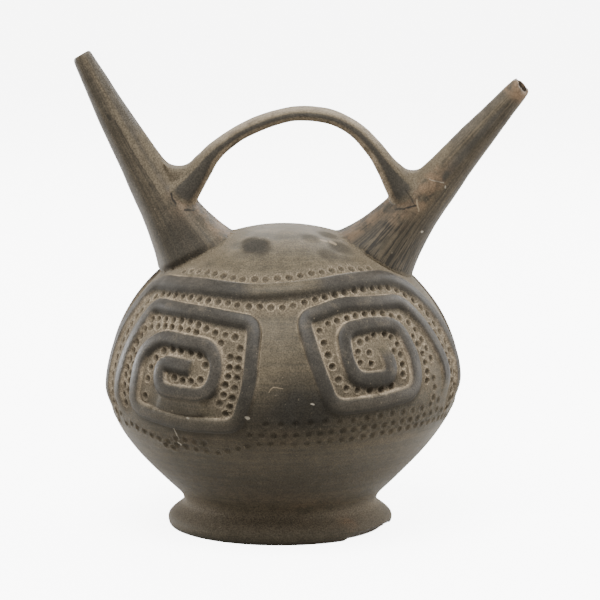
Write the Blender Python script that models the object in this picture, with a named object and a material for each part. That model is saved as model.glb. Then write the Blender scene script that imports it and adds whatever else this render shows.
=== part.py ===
"""Bridge-spout vessel: one hollow body of fired clay on a ring foot, with two tapering spouts
joined by a strap handle. Belly bands are raised in relief. Metres, +Z up; +X is the side of
the more slanted spout, and the carved front faces -Y."""

import bisect
import math

import bmesh
import bpy
from mathutils import Vector
from mathutils.geometry import delaunay_2d_cdt

for leftover in list(bpy.data.objects):
    bpy.data.objects.remove(leftover, do_unlink=True)

# Body and foot
DOME_LEVEL = 0.1275
BELLY_RADIUS = 0.074
BELLY_LEVEL = 0.062
DOME_FULLNESS = 1.8
WAIST_RADIUS = 0.0409
WAIST_LEVEL = 0.013
FOOT_RADIUS = 0.0474
FOOT_EDGE_ROUND = 0.0013
FOOT_RING_WIDTH = 0.0052
FOOT_HOLLOW_DEPTH = 0.008
BODY_WALL = 0.005
FLOOR_THICKNESS = 0.006
CAVITY_CORNER = 0.002

# The foot sits a little to the left; the lean fades out between two shares of the belly's level
FOOT_OFFSET = 0.0018
LEAN_LOW_SHARE = 0.5
LEAN_HIGH_SHARE = 1.2

# Chip out of the foot's lower edge, front right, in degrees round from the front
CHIP_FROM = 36
CHIP_TO = 88
CHIP_HEIGHT = 0.0024
CHIP_DEPTH = 0.0021
CHIP_WAVES = 3.5
CHIP_WAVE_SHARE = 0.18

# Raised bands on the belly
BAND_HEIGHT = 0.0017
SPIRAL_WIDTH = 0.0062
FRAME_WIDTH = 0.0076
BAND_CREST_SHARE = 0.46
BAND_STEP = 0.0065
BAND_CLEARANCE = 0.003
RELIEF_LOW_SHARE = 0.33
RELIEF_HIGH_SHARE = 0.915

# Spouts: the foot's place on the dome, in degrees from its crown, then the middle line's length,
# its tilt, its turn towards the front and its bow
LEFT_ROOT_ANGLE = 30.9
LEFT_SPOUT_LENGTH = 0.0935
LEFT_SPOUT_TILT = 30.1
LEFT_SPOUT_TURN = -6
LEFT_SPOUT_BOW = 0.0012
RIGHT_ROOT_ANGLE = 33.1
RIGHT_SPOUT_LENGTH = 0.0923
RIGHT_SPOUT_TILT = 39.8
RIGHT_SPOUT_TURN = 8
RIGHT_SPOUT_BOW = -0.0007

# Spout walls, flared feet and mouths
MOUTH_RADIUS = 0.0042
MOUTH_WALL = 0.0017
MOUTH_ROUND = 0.0006
MOUTH_CHIP_DEPTH = 0.0022
SPOUT_ROOT_RADIUS = 0.0125
SPOUT_WALL = 0.0048
SPOUT_FLARE = 0.0046
SPOUT_FLARE_ACROSS = 0.0071
SPOUT_FLARE_POWER = 6.6
SPOUT_ROOT_DEPTH = 0.009
SPOUT_ROOT_INSET = 0.0023

# Strap handle, joined to each spout at a distance along its middle line
LEFT_JOIN_ALONG = 0.0205
RIGHT_JOIN_ALONG = 0.0235
HANDLE_WIDTH = 0.0185
HANDLE_THICKNESS = 0.0054
LEFT_END_THICKNESS = 0.0155
RIGHT_END_THICKNESS = 0.0195
HANDLE_END_FLARE = 0.0095
HANDLE_RISE = 0.0463

# How finely round shapes are faceted, and the distance at which points are one
BODY_SIDES = 60
SPOUT_SIDES = 20
HANDLE_SIDES = 12
CAVITY_SIDES = 40
SAME_POINT = 0.00002

# Bands as corners: degrees round from the front, and share of the dome's level
LEFT_SPIRAL = [
    (-30.5, 0.603), (-44.6, 0.614), (-43.4, 0.522), (-24.5, 0.520), (-21.4, 0.605),
    (-25.0, 0.674), (-47.5, 0.686), (-55.6, 0.625), (-55.4, 0.452), (-33.0, 0.424),
    (-14.0, 0.430), (-10.7, 0.560), (-10.4, 0.750), (-33.0, 0.768), (-60.4, 0.772),
    (-65.0, 0.640), (-67.0, 0.490), (-63.0, 0.400),
]
RIGHT_SPIRAL = [
    (36.0, 0.674), (38.0, 0.570), (24.0, 0.570), (21.0, 0.640), (21.6, 0.724),
    (34.0, 0.736), (45.6, 0.724), (48.4, 0.610), (46.8, 0.512), (30.0, 0.496),
    (15.6, 0.490), (11.4, 0.605), (6.8, 0.764), (24.0, 0.799), (54.5, 0.787),
    (61.0, 0.700), (66.2, 0.560), (63.5, 0.445),
]
FRAME = [
    (-76.0, 0.395), (-79.4, 0.540), (-79.6, 0.700), (-74.5, 0.828), (-40.0, 0.842),
    (-13.0, 0.835), (9.0, 0.846), (34.0, 0.861), (57.0, 0.856), (68.5, 0.810),
    (76.0, 0.705), (79.5, 0.570), (76.0, 0.415),
]
BACK_TURNS_LEFT_OUT = 5

# Handle's middle line between its joins: share of the way across, and share of the rise from
# the straight line between the joins up to the top of the arch
HANDLE_LINE = [
    (0.073, 0.186), (0.136, 0.399), (0.177, 0.552), (0.232, 0.684), (0.309, 0.818),
    (0.404, 0.929), (0.502, 0.996), (0.588, 1.000), (0.678, 0.950), (0.761, 0.825),
    (0.833, 0.630), (0.883, 0.444), (0.926, 0.281), (0.973, 0.111),
]


def smooth_step(value):
    """0 below 0, 1 above 1, with a soft run between."""
    value = min(max(value, 0.0), 1.0)
    return value * value * (3 - 2 * value)


def bowl_radius(level, low_level, low_radius, wide_radius, top_level):
    """Radius of the rounded body at a level: a quarter wave below the belly, a dome above."""
    if level <= BELLY_LEVEL:
        share = max(level - low_level, 0) / (BELLY_LEVEL - low_level)
        return low_radius + (wide_radius - low_radius) * math.sin(math.pi / 2 * share)
    share = min((level - BELLY_LEVEL) / (top_level - BELLY_LEVEL), 1)
    return wide_radius * math.sqrt(1 - share ** DOME_FULLNESS)


def wall_radius(level):
    """Outer radius of the bare body wall, without its bands."""
    return bowl_radius(level, WAIST_LEVEL, WAIST_RADIUS, BELLY_RADIUS, DOME_LEVEL)


def wall_normal(azimuth, level):
    """Outward direction of the body wall."""
    step = DOME_LEVEL / 600
    slope = (wall_radius(level + step) - wall_radius(level - step)) / (2 * step)
    out = Vector((math.sin(azimuth), -math.cos(azimuth), -slope))
    return out.normalized()


def on_wall(azimuth, level, height):
    """Point on the body wall, raised by a height along the wall's normal."""
    radius = wall_radius(level)
    point = Vector((radius * math.sin(azimuth), -radius * math.cos(azimuth), level))
    return point + height * wall_normal(azimuth, level)


def settle(mesh):
    """Let the foot sit a little to the left of the belly, as the hand-built pot does."""
    for vert in mesh.verts:
        share = vert.co.z / BELLY_LEVEL
        fade = smooth_step((share - LEAN_LOW_SHARE) / (LEAN_HIGH_SHARE - LEAN_LOW_SHARE))
        vert.co.x -= FOOT_OFFSET * (1 - fade)


def new_object(name, mesh_data):
    """Turn a bmesh into an object with its faces pointing out."""
    bmesh.ops.remove_doubles(mesh_data, verts=mesh_data.verts, dist=SAME_POINT)
    bmesh.ops.recalc_face_normals(mesh_data, faces=mesh_data.faces)
    mesh = bpy.data.meshes.new(name)
    mesh_data.to_mesh(mesh)
    mesh_data.free()
    made = bpy.data.objects.new(name, mesh)
    bpy.context.scene.collection.objects.link(made)
    return made


def add_ring(mesh, points):
    return [mesh.verts.new(point) for point in points]


def bridge(mesh, lower, upper):
    """Join two rings of as many points with a band of faces."""
    count = len(lower)
    for i in range(count):
        j = (i + 1) % count
        mesh.faces.new((lower[i], lower[j], upper[j], upper[i]))


def bridge_all(mesh, rings):
    """Join a row of rings into one skin, and give back the first and the last."""
    made = [add_ring(mesh, ring) for ring in rings]
    for lower, upper in zip(made, made[1:]):
        bridge(mesh, lower, upper)
    return made[0], made[-1]


def round_ring(radius, level, sides):
    """Points of a level circle round the body's axis, from the left side on."""
    points = []
    for i in range(sides):
        azimuth = 2 * math.pi * i / sides - math.pi / 2
        points.append(Vector((radius * math.sin(azimuth), -radius * math.cos(azimuth), level)))
    return points


class BandPlane:
    """The relief strip laid flat: x runs round the belly, y runs up along the wall."""

    def __init__(self, low_level, high_level):
        self.levels = [low_level]
        self.arcs = [0.0]
        steps = 200
        for i in range(1, steps + 1):
            level = low_level + (high_level - low_level) * i / steps
            rise = level - self.levels[-1]
            run = wall_radius(level) - wall_radius(self.levels[-1])
            self.arcs.append(self.arcs[-1] + math.hypot(rise, run))
            self.levels.append(level)
        self.width = 2 * math.pi * BELLY_RADIUS
        self.height = self.arcs[-1]

    def look_up(self, keys, values, key):
        i = min(max(bisect.bisect_left(keys, key), 1), len(keys) - 1)
        share = (key - keys[i - 1]) / (keys[i] - keys[i - 1])
        return values[i - 1] + share * (values[i] - values[i - 1])

    def place(self, degrees, share):
        """Plane position of an azimuth and a share of the dome's level."""
        x = math.radians(degrees + 90) * BELLY_RADIUS
        return Vector((x, self.look_up(self.levels, self.arcs, share * DOME_LEVEL)))

    def stretch(self, y):
        """How much narrower the pot is here than at its belly."""
        return wall_radius(self.look_up(self.arcs, self.levels, y)) / BELLY_RADIUS

    def wrap(self, x, y, height):
        """Back from the plane onto the pot."""
        azimuth = x / BELLY_RADIUS - math.pi / 2
        return on_wall(azimuth, self.look_up(self.arcs, self.levels, y), height)


def rounded_path(corners, rounding):
    """Middle line of a band: straight runs with rounded corners, in short steps."""
    longest_reach = 0.48
    turn_per_cut = math.radians(32)
    path = [corners[0]]
    for before, corner, after in zip(corners, corners[1:], corners[2:]):
        back = before - corner
        on = after - corner
        start = corner + back.normalized() * min(rounding, back.length * longest_reach)
        end = corner + on.normalized() * min(rounding, on.length * longest_reach)
        cuts = 1 + round((math.pi - back.angle(on)) / turn_per_cut)
        for i in range(cuts + 1):
            t = i / cuts
            path.append(start * (1 - t) ** 2 + corner * 2 * t * (1 - t) + end * t ** 2)
    path.append(corners[-1])
    shortest_step = BAND_STEP * 0.2
    stepped = [path[0]]
    for point in path[1:]:
        last = stepped[-1]
        gap = (point - last).length
        if gap < shortest_step:
            continue
        pieces = max(1, round(gap / BAND_STEP))
        for i in range(1, pieces + 1):
            stepped.append(last.lerp(point, i / pieces))
    return stepped


class Relief:
    """Collects the bands' edges and crests in the plane, then meshes the whole strip."""

    def __init__(self, plane):
        self.plane = plane
        self.points = []
        self.heights = []
        self.edges = []
        self.covered = []

    def add_point(self, point, height):
        self.points.append(Vector((point.x, point.y)))
        self.heights.append(height)
        return len(self.points) - 1

    def add_band(self, corners, width, behind):
        """One raised band through its corners, or its mirror image on the back of the pot."""
        plane = self.plane
        if behind:
            corners = [(180 - degrees, share) for degrees, share in corners]
        line = rounded_path([plane.place(*corner) for corner in corners], width)
        half = width / 2
        rows = {-1: [], -BAND_CREST_SHARE: [], BAND_CREST_SHARE: [], 1: []}
        for i, point in enumerate(line):
            ahead = line[min(i + 1, len(line) - 1)] - line[max(i - 1, 0)]
            narrow = plane.stretch(point.y)
            across = Vector((-ahead.y, ahead.x * narrow)).normalized() * half
            across.x /= narrow
            for side, row in rows.items():
                height = 0 if abs(side) == 1 else BAND_HEIGHT
                row.append(self.add_point(point + across * side, height))
            self.covered.append((point, half))
        for row in rows.values():
            self.edges.extend(zip(row, row[1:]))
        for end, inner in ((0, 1), (-1, -2)):
            onward = (line[end] - line[inner]).normalized() * half
            tip = self.add_point(line[end] + onward, 0)
            self.edges.append((rows[-1][end], tip))
            self.edges.append((tip, rows[1][end]))
            self.edges.append((rows[-BAND_CREST_SHARE][end], rows[BAND_CREST_SHARE][end]))

    def add_background(self):
        """Plain wall between the bands, and the strip's border."""
        plane = self.plane
        rows = max(2, round(plane.height / (plane.width / BODY_SIDES)))
        for r in range(rows + 1):
            y = plane.height * r / rows
            for c in range(BODY_SIDES + 1):
                spot = Vector((plane.width * c / BODY_SIDES, y))
                if r in (0, rows) or c in (0, BODY_SIDES):
                    self.add_point(spot, 0)
                    continue
                if c % 2 == r % 2:
                    near = any((spot - p).length < half + BAND_CLEARANCE for p, half in self.covered)
                    if not near:
                        self.add_point(spot, 0)

    def build(self, mesh):
        """Triangulate the plane round every edge and wrap it onto the pot."""
        flat, _, faces, origins, _, _ = delaunay_2d_cdt(
            self.points, self.edges, [], 0, SAME_POINT / 4
        )
        verts = []
        for point, origin in zip(flat, origins):
            height = self.heights[origin[0]] if origin else 0
            verts.append(mesh.verts.new(self.plane.wrap(point.x, point.y, height)))
        for face in faces:
            mesh.faces.new([verts[i] for i in face])


def foot_radius(level):
    """The foot's hollow outline, from its edge up to the waist."""
    return WAIST_RADIUS + (FOOT_RADIUS - WAIST_RADIUS) * smooth_step(1 - level / WAIST_LEVEL)


def chip_share(azimuth_degrees):
    """How much of the foot's edge is lost here: none outside the chip, uneven inside."""
    if not CHIP_FROM < azimuth_degrees < CHIP_TO:
        return 0.0
    share = (azimuth_degrees - CHIP_FROM) / (CHIP_TO - CHIP_FROM)
    wave = 1 - CHIP_WAVE_SHARE * (1 - math.cos(2 * math.pi * CHIP_WAVES * share))
    return math.sqrt(math.sin(math.pi * share)) * wave


def foot_ring(radius, level, inward, upward):
    """A ring of the foot, drawn in and up where the edge is chipped."""
    points = []
    for point in round_ring(radius, level, BODY_SIDES):
        chip = chip_share(math.degrees(math.atan2(point.x, -point.y)))
        scale = (radius - inward * chip) / radius
        points.append(Vector((point.x * scale, point.y * scale, level + upward * chip)))
    return points


def foot_rings(relief_level):
    """Rings from the hollow under the floor, over the foot's edge and up to the relief."""
    hollow_shares = ((0.45, 1.0), (0.9, 0.72))
    foot_shares = (0.40, 0.62, 0.82)
    lower_belly_shares = (0.0, 0.09, 0.24, 0.45, 0.70, 1.0)
    flat_edge = FOOT_RADIUS - FOOT_EDGE_ROUND
    inner_edge = flat_edge - FOOT_RING_WIDTH
    rings = []
    for out, depth in hollow_shares:
        rings.append(round_ring(inner_edge * out, FOOT_HOLLOW_DEPTH * depth, BODY_SIDES))
    rings.append(round_ring(inner_edge, 0, BODY_SIDES))
    rings.append(foot_ring(flat_edge, 0, CHIP_DEPTH, 0))
    rings.append(foot_ring(FOOT_RADIUS, FOOT_EDGE_ROUND / 2, CHIP_DEPTH, CHIP_HEIGHT))
    for share in foot_shares:
        level = WAIST_LEVEL * share
        rings.append(round_ring(foot_radius(level), level, BODY_SIDES))
    for share in lower_belly_shares:
        level = WAIST_LEVEL + (relief_level - WAIST_LEVEL) * share
        rings.append(round_ring(wall_radius(level), level, BODY_SIDES))
    return rings


def dome_rings(relief_level):
    """Rings from the relief's upper edge to just short of the crown."""
    rings = []
    for share in (0.0, 0.42, 0.72, 0.91, 0.985):
        level = relief_level + (DOME_LEVEL - relief_level) * share
        rings.append(round_ring(wall_radius(level), level, BODY_SIDES))
    return rings


def make_body():
    """Outside of the pot: foot, belly with its bands, and dome, as one closed shell."""
    mesh = bmesh.new()
    low = RELIEF_LOW_SHARE * DOME_LEVEL
    high = RELIEF_HIGH_SHARE * DOME_LEVEL
    relief = Relief(BandPlane(low, high))
    for spiral in (LEFT_SPIRAL, RIGHT_SPIRAL):
        relief.add_band(spiral, SPIRAL_WIDTH, behind=False)
        relief.add_band(spiral[BACK_TURNS_LEFT_OUT:], SPIRAL_WIDTH, behind=True)
    for behind in (False, True):
        relief.add_band(FRAME, FRAME_WIDTH, behind)
    relief.add_background()
    relief.build(mesh)
    underside, _ = bridge_all(mesh, foot_rings(low))
    mesh.faces.new(underside)
    _, top = bridge_all(mesh, dome_rings(high))
    crown = mesh.verts.new((0, 0, DOME_LEVEL))
    for i, vert in enumerate(top):
        mesh.faces.new((vert, top[(i + 1) % BODY_SIDES], crown))
    bmesh.ops.remove_doubles(mesh, verts=mesh.verts, dist=SAME_POINT)
    settle(mesh)
    return new_object("vessel", mesh)


def make_cavity():
    """The space inside, one wall's thickness in from the outside."""
    mesh = bmesh.new()
    floor = FOOT_HOLLOW_DEPTH + FLOOR_THICKNESS
    top = DOME_LEVEL - BODY_WALL
    floor_radius = WAIST_RADIUS - BODY_WALL - CAVITY_CORNER
    steps = 12
    short_of_the_top = 0.97
    rings = []
    for i in range(steps + 1):
        sweep = math.pi * short_of_the_top * i / steps
        level = floor + (top - floor) * (1 - math.cos(sweep)) / 2
        radius = bowl_radius(level, floor, floor_radius, BELLY_RADIUS - BODY_WALL, top)
        rings.append(round_ring(radius, level, CAVITY_SIDES))
    lowest, highest = bridge_all(mesh, rings)
    mesh.faces.new(lowest)
    mesh.faces.new(highest)
    settle(mesh)
    return new_object("cavity", mesh)


class Spout:
    """Middle line and radii of one spout; side is -1 for the left one and 1 for the right."""

    def __init__(self, side, root_angle, length, tilt, turn, bow):
        self.side = side
        self.length = length
        self.bow = bow
        root_angle, tilt, turn = math.radians(root_angle), math.radians(tilt), math.radians(turn)
        dome_share = math.cos(root_angle) ** (2 / DOME_FULLNESS)
        self.root = Vector((
            side * BELLY_RADIUS * math.sin(root_angle),
            0,
            BELLY_LEVEL + (DOME_LEVEL - BELLY_LEVEL) * dome_share,
        ))
        self.up = Vector((
            side * math.sin(tilt) * math.cos(turn),
            -math.sin(tilt) * math.sin(turn),
            math.cos(tilt),
        ))
        self.across = Vector((0, 1, 0)) - self.up * self.up.y
        self.across.normalize()
        self.outward = self.across.cross(self.up) * side

    def middle(self, along):
        """Point of the middle line, along from the root; it bows out a little."""
        share = min(max(along / self.length, 0), 1)
        bowed = self.bow * 4 * share * (1 - share)
        return self.root + self.up * along + self.outward * bowed

    def radii(self, along):
        """Half widths in the spouts' own plane and across it."""
        from_mouth = max(1 - along / self.length, 0)
        flare = from_mouth ** SPOUT_FLARE_POWER
        plain = MOUTH_RADIUS + (SPOUT_ROOT_RADIUS - MOUTH_RADIUS) * from_mouth
        return plain + SPOUT_FLARE * flare, plain + SPOUT_FLARE_ACROSS * flare

    def ring(self, along, half_out, half_across, chip=0):
        """One ring of points; chip drops its front lip along the spout."""
        points = []
        towards_left = 0.5
        for i in range(SPOUT_SIDES):
            angle = 2 * math.pi * i / SPOUT_SIDES
            point = self.middle(along) + self.outward * half_out * math.cos(angle)
            point += self.across * half_across * math.sin(angle)
            front = max(0.0, -math.sin(angle - towards_left * self.side)) ** 1.5
            points.append(point - self.up * chip * front)
        return points


def loft(name, rings):
    """Closed solid through rings of as many points, flat at both ends."""
    mesh = bmesh.new()
    first, last = bridge_all(mesh, rings)
    mesh.faces.new(first)
    mesh.faces.new(last)
    return new_object(name, mesh)


def make_spout(name, spout, chip):
    root_out, root_across = spout.radii(0)
    rings = [spout.ring(-SPOUT_ROOT_DEPTH, root_out - SPOUT_ROOT_INSET,
                        root_across - SPOUT_ROOT_INSET)]
    for share in (0, 0.06, 0.13, 0.22, 0.34, 0.5, 0.7, 0.88):
        along = spout.length * share
        half_out, half_across = spout.radii(along)
        rings.append(spout.ring(along, half_out, half_across))
    lip = MOUTH_RADIUS - MOUTH_ROUND
    rings.append(spout.ring(spout.length - MOUTH_ROUND, MOUTH_RADIUS, MOUTH_RADIUS, chip))
    rings.append(spout.ring(spout.length, lip, lip, chip))
    return loft(name, rings)


def make_bore(name, spout):
    """The channel from the mouth down into the body, widening with the spout."""
    root_bore = SPOUT_ROOT_RADIUS - SPOUT_WALL
    mouth_bore = MOUTH_RADIUS - MOUTH_WALL
    below = -(BODY_WALL + SPOUT_ROOT_DEPTH)
    past_the_mouth = spout.length + MOUTH_RADIUS
    rings = []
    for along in (below, 0, spout.length / 3, spout.length * 2 / 3, past_the_mouth):
        share = min(max(along / spout.length, 0), 1)
        radius = root_bore + (mouth_bore - root_bore) * share
        rings.append(spout.ring(along, radius, radius))
    return loft(name, rings)


def smooth_line(points, cuts):
    """A smooth curve through points, by Catmull and Rom's rule."""
    ends = [points[0] * 2 - points[1]] + points + [points[-1] * 2 - points[-2]]
    line = []
    for a, b, c, d in zip(ends, ends[1:], ends[2:], ends[3:]):
        for i in range(cuts):
            t = i / cuts
            line.append(0.5 * (
                b * 2 + (c - a) * t + (a * 2 - b * 5 + c * 4 - d) * t ** 2
                + (b * 3 - a - c * 3 + d) * t ** 3
            ))
    line.append(points[-1])
    return line


def handle_thickness(share):
    """Thickness of the strap: thinnest at its middle, spread where it is pressed on."""
    end = 2 * share - 1
    if end < 0:
        swell = (LEFT_END_THICKNESS - HANDLE_THICKNESS) * abs(end) ** 3
    else:
        swell = (RIGHT_END_THICKNESS - HANDLE_THICKNESS) * end ** 2.6
    return HANDLE_THICKNESS + swell + HANDLE_END_FLARE * end ** 14


def make_handle(left, right):
    """The strap that arches from one spout to the other."""
    start = left.middle(LEFT_JOIN_ALONG)
    finish = right.middle(RIGHT_JOIN_ALONG)
    points = [start]
    for across, rise in HANDLE_LINE:
        point = start.lerp(finish, across)
        point.z += (DOME_LEVEL + HANDLE_RISE - point.z) * rise
        points.append(point)
    points.append(finish)
    line = smooth_line(points, 2)
    squareness, roundness = 0.45, 0.75
    rings = []
    for i, point in enumerate(line):
        ahead = line[min(i + 1, len(line) - 1)] - line[max(i - 1, 0)]
        out = Vector((-ahead.z, 0, ahead.x)).normalized()
        thick = handle_thickness(i / (len(line) - 1))
        ring = []
        for k in range(HANDLE_SIDES):
            angle = 2 * math.pi * (k + 0.5) / HANDLE_SIDES
            side, up = math.cos(angle), math.sin(angle)
            side = math.copysign(abs(side) ** squareness, side)
            up = math.copysign(abs(up) ** roundness, up)
            ring.append(point + Vector((0, HANDLE_WIDTH / 2 * side, 0)) + out * (thick / 2 * up))
        rings.append(ring)
    return loft("handle", rings)


def combine(whole, other, operation):
    """Join another solid to the whole or cut it away, and drop the other."""
    boolean = whole.modifiers.new(operation.title(), "BOOLEAN")
    boolean.operation = operation
    boolean.solver = "EXACT"
    boolean.object = other
    bpy.context.view_layer.objects.active = whole
    bpy.ops.object.modifier_apply(modifier=boolean.name)
    bpy.data.objects.remove(other, do_unlink=True)


def centre_on_its_box(whole):
    """Put the origin under the middle of the vessel's outer box, on the surface it stands on."""
    places = [vert.co for vert in whole.data.vertices]
    shift = Vector((
        -(min(p.x for p in places) + max(p.x for p in places)) / 2,
        -(min(p.y for p in places) + max(p.y for p in places)) / 2,
        -min(p.z for p in places),
    ))
    for vert in whole.data.vertices:
        vert.co += shift


def clay_material():
    """Dark burnished blackware."""
    material = bpy.data.materials.new("burnished_clay")
    material.use_nodes = True
    shader = material.node_tree.nodes["Principled BSDF"]
    shader.inputs["Base Color"].default_value = (0.105, 0.090, 0.072, 1)
    shader.inputs["Roughness"].default_value = 0.52
    shader.inputs["Metallic"].default_value = 0.0
    return material


def make_vessel():
    vessel = make_body()
    left = Spout(-1, LEFT_ROOT_ANGLE, LEFT_SPOUT_LENGTH, LEFT_SPOUT_TILT, LEFT_SPOUT_TURN,
                 LEFT_SPOUT_BOW)
    right = Spout(1, RIGHT_ROOT_ANGLE, RIGHT_SPOUT_LENGTH, RIGHT_SPOUT_TILT, RIGHT_SPOUT_TURN,
                  RIGHT_SPOUT_BOW)
    combine(vessel, make_spout("left spout", left, 0), "UNION")
    combine(vessel, make_spout("right spout", right, MOUTH_CHIP_DEPTH), "UNION")
    combine(vessel, make_handle(left, right), "UNION")
    combine(vessel, make_cavity(), "DIFFERENCE")
    combine(vessel, make_bore("left bore", left), "DIFFERENCE")
    combine(vessel, make_bore("right bore", right), "DIFFERENCE")
    centre_on_its_box(vessel)
    vessel.data.shade_smooth()
    vessel.data.set_sharp_from_angle(angle=math.radians(38))
    vessel.data.materials.clear()
    vessel.data.materials.append(clay_material())
    return vessel


make_vessel()
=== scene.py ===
import bisect
import math
import random

import bpy
from mathutils import Matrix, Vector, noise
from mathutils.geometry import delaunay_2d_cdt
from mathutils.kdtree import KDTree


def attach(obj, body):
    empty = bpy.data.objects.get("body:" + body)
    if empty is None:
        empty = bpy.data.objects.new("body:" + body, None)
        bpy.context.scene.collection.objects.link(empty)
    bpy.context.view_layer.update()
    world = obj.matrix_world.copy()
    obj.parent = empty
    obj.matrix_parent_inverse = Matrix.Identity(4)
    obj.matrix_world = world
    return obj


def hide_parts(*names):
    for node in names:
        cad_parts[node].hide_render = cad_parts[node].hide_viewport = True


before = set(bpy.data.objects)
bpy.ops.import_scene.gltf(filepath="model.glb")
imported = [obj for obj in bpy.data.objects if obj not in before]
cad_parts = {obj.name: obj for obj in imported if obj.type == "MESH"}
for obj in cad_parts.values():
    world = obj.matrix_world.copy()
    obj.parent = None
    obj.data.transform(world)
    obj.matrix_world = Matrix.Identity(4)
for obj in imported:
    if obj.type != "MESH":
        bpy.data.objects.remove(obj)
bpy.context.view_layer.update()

# The plain body
# The pot was built up in coils of dark clay, scraped to an even wall and rubbed smooth with a
# pebble. The flared ring foot was pulled out of the same clay, and its edge is chipped in front.
POT_AXIS = Vector((-0.00678, 0, 0))
DOME_LEVEL = 0.1275
BELLY_RADIUS = 0.074
BELLY_LEVEL = 0.062
DOME_FULLNESS = 1.8
WAIST_RADIUS = 0.0409
WAIST_LEVEL = 0.013
WAIST_ROUND = 0.0026
FOOT_RADIUS = 0.0474
FOOT_EDGE_ROUND = 0.0013
FOOT_EDGE_RISE = 0.0032
FOOT_RING_WIDTH = 0.0052
FOOT_HOLLOW_DEPTH = 0.008
FOOT_OFFSET = 0.0018
LEAN_LOW_SHARE = 0.5
LEAN_HIGH_SHARE = 1.2
CHIP_FROM = 36
CHIP_TO = 88
CHIP_HEIGHT = 0.0024
CHIP_DEPTH = 0.0021
CHIP_REACH = 0.003
CHIP_TOP = 0.0042
STRIP_LOW = 0.0378
STRIP_HIGH = 0.1178
BODY_SIDES = 228
RING_ROW = 0.0013
FLANK_ROW = 0.00095
BELLY_ROW = 0.0012
SLOPE_STEP = DOME_LEVEL / 600
SAME_POINT = 0.00002


def smooth_step(value):
    """0 below 0, 1 above 1, with a soft run between."""
    value = min(max(value, 0.0), 1.0)
    return value * value * (3 - 2 * value)


def bowl_radius(level, low_level, low_radius, wide_radius, top_level):
    """Radius of the rounded body at a level: a quarter wave below the belly, a dome above."""
    if level <= BELLY_LEVEL:
        share = max(level - low_level, 0) / (BELLY_LEVEL - low_level)
        return low_radius + (wide_radius - low_radius) * math.sin(math.pi / 2 * share)
    share = min((level - BELLY_LEVEL) / (top_level - BELLY_LEVEL), 1)
    return wide_radius * math.sqrt(1 - share ** DOME_FULLNESS)


def wall_radius(level):
    """Radius of the bare wall, with the corner at the waist rounded into a soft curve."""
    rise = max(level - WAIST_LEVEL + WAIST_ROUND, 0)
    if rise < 2 * WAIST_ROUND:
        level = WAIST_LEVEL + rise ** 2 / (4 * WAIST_ROUND)
    return bowl_radius(level, WAIST_LEVEL, WAIST_RADIUS, BELLY_RADIUS, DOME_LEVEL)


def wall_slope(level):
    """How much the bare wall's radius grows for a rise in level."""
    return (wall_radius(level + SLOPE_STEP) - wall_radius(level - SLOPE_STEP)) / (2 * SLOPE_STEP)


def foot_radius(level):
    share = (level - FOOT_EDGE_RISE) / (WAIST_LEVEL - WAIST_ROUND - FOOT_EDGE_RISE)
    return WAIST_RADIUS + (FOOT_RADIUS - WAIST_RADIUS) * smooth_step(1 - share)


def on_wall(azimuth, level, height=0.0):
    """Point on the bare wall, raised by a height straight out of it; azimuth 0 is the front."""
    out = Vector((math.sin(azimuth), -math.cos(azimuth), -wall_slope(level))).normalized()
    radius = wall_radius(level)
    return Vector((radius * math.sin(azimuth), -radius * math.cos(azimuth), level)) + height * out


def lean(level):
    """How far the foot and lower belly sit to the left of the dome."""
    share = level / BELLY_LEVEL
    return FOOT_OFFSET * (1 - smooth_step((share - LEAN_LOW_SHARE) / (LEAN_HIGH_SHARE - LEAN_LOW_SHARE)))


def only(piece, *others):
    """Select these objects and nothing else; operators act on the first."""
    bpy.ops.object.select_all(action="DESELECT")
    for selected in (piece, *others):
        selected.select_set(True)
    bpy.context.view_layer.objects.active = piece


def new_object(name, data):
    made = bpy.data.objects.new(name, data)
    bpy.context.scene.collection.objects.link(made)
    return made


def new_piece(name, points, edges=(), faces=()):
    mesh = bpy.data.meshes.new(name)
    mesh.from_pydata([tuple(point) for point in points], list(edges), list(faces))
    return new_object(name, mesh)


def take_up(piece, action="SELECT"):
    """Go into a piece's mesh with all or none of it selected."""
    only(piece)
    bpy.ops.object.mode_set(mode="EDIT")
    bpy.ops.mesh.select_all(action=action)


def close_up(piece):
    """Merge what lies on the same spot and turn every face outwards."""
    take_up(piece)
    bpy.ops.mesh.remove_doubles(threshold=SAME_POINT)
    bpy.ops.mesh.normals_make_consistent(inside=False)
    bpy.ops.object.mode_set(mode="OBJECT")


def turn(name, outline, sides):
    """Spin an outline of (radius, level) points once round the upright axis."""
    edges = [(i, i + 1) for i in range(len(outline) - 1)]
    made = new_piece(name, [(-radius, 0, level) for radius, level in outline], edges)
    take_up(made)
    bpy.ops.mesh.spin(steps=sides, angle=2 * math.pi, center=(0, 0, 0), axis=(0, 0, 1))
    bpy.ops.object.mode_set(mode="OBJECT")
    close_up(made)
    return made


def spaced(start, end, step):
    """Even steps from start to end, both included."""
    count = max(1, round(abs(end - start) / step))
    return [start + (end - start) * i / count for i in range(count + 1)]


def chip_share(degrees):
    """How much of the foot's edge is lost here: none outside the chip, uneven inside."""
    if not CHIP_FROM < degrees < CHIP_TO:
        return 0.0
    share = (degrees - CHIP_FROM) / (CHIP_TO - CHIP_FROM)
    wave = 0.8 + 0.2 * noise.noise(Vector((degrees / 5, 0, 0)))
    return math.sqrt(math.sin(math.pi * share)) * wave


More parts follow.
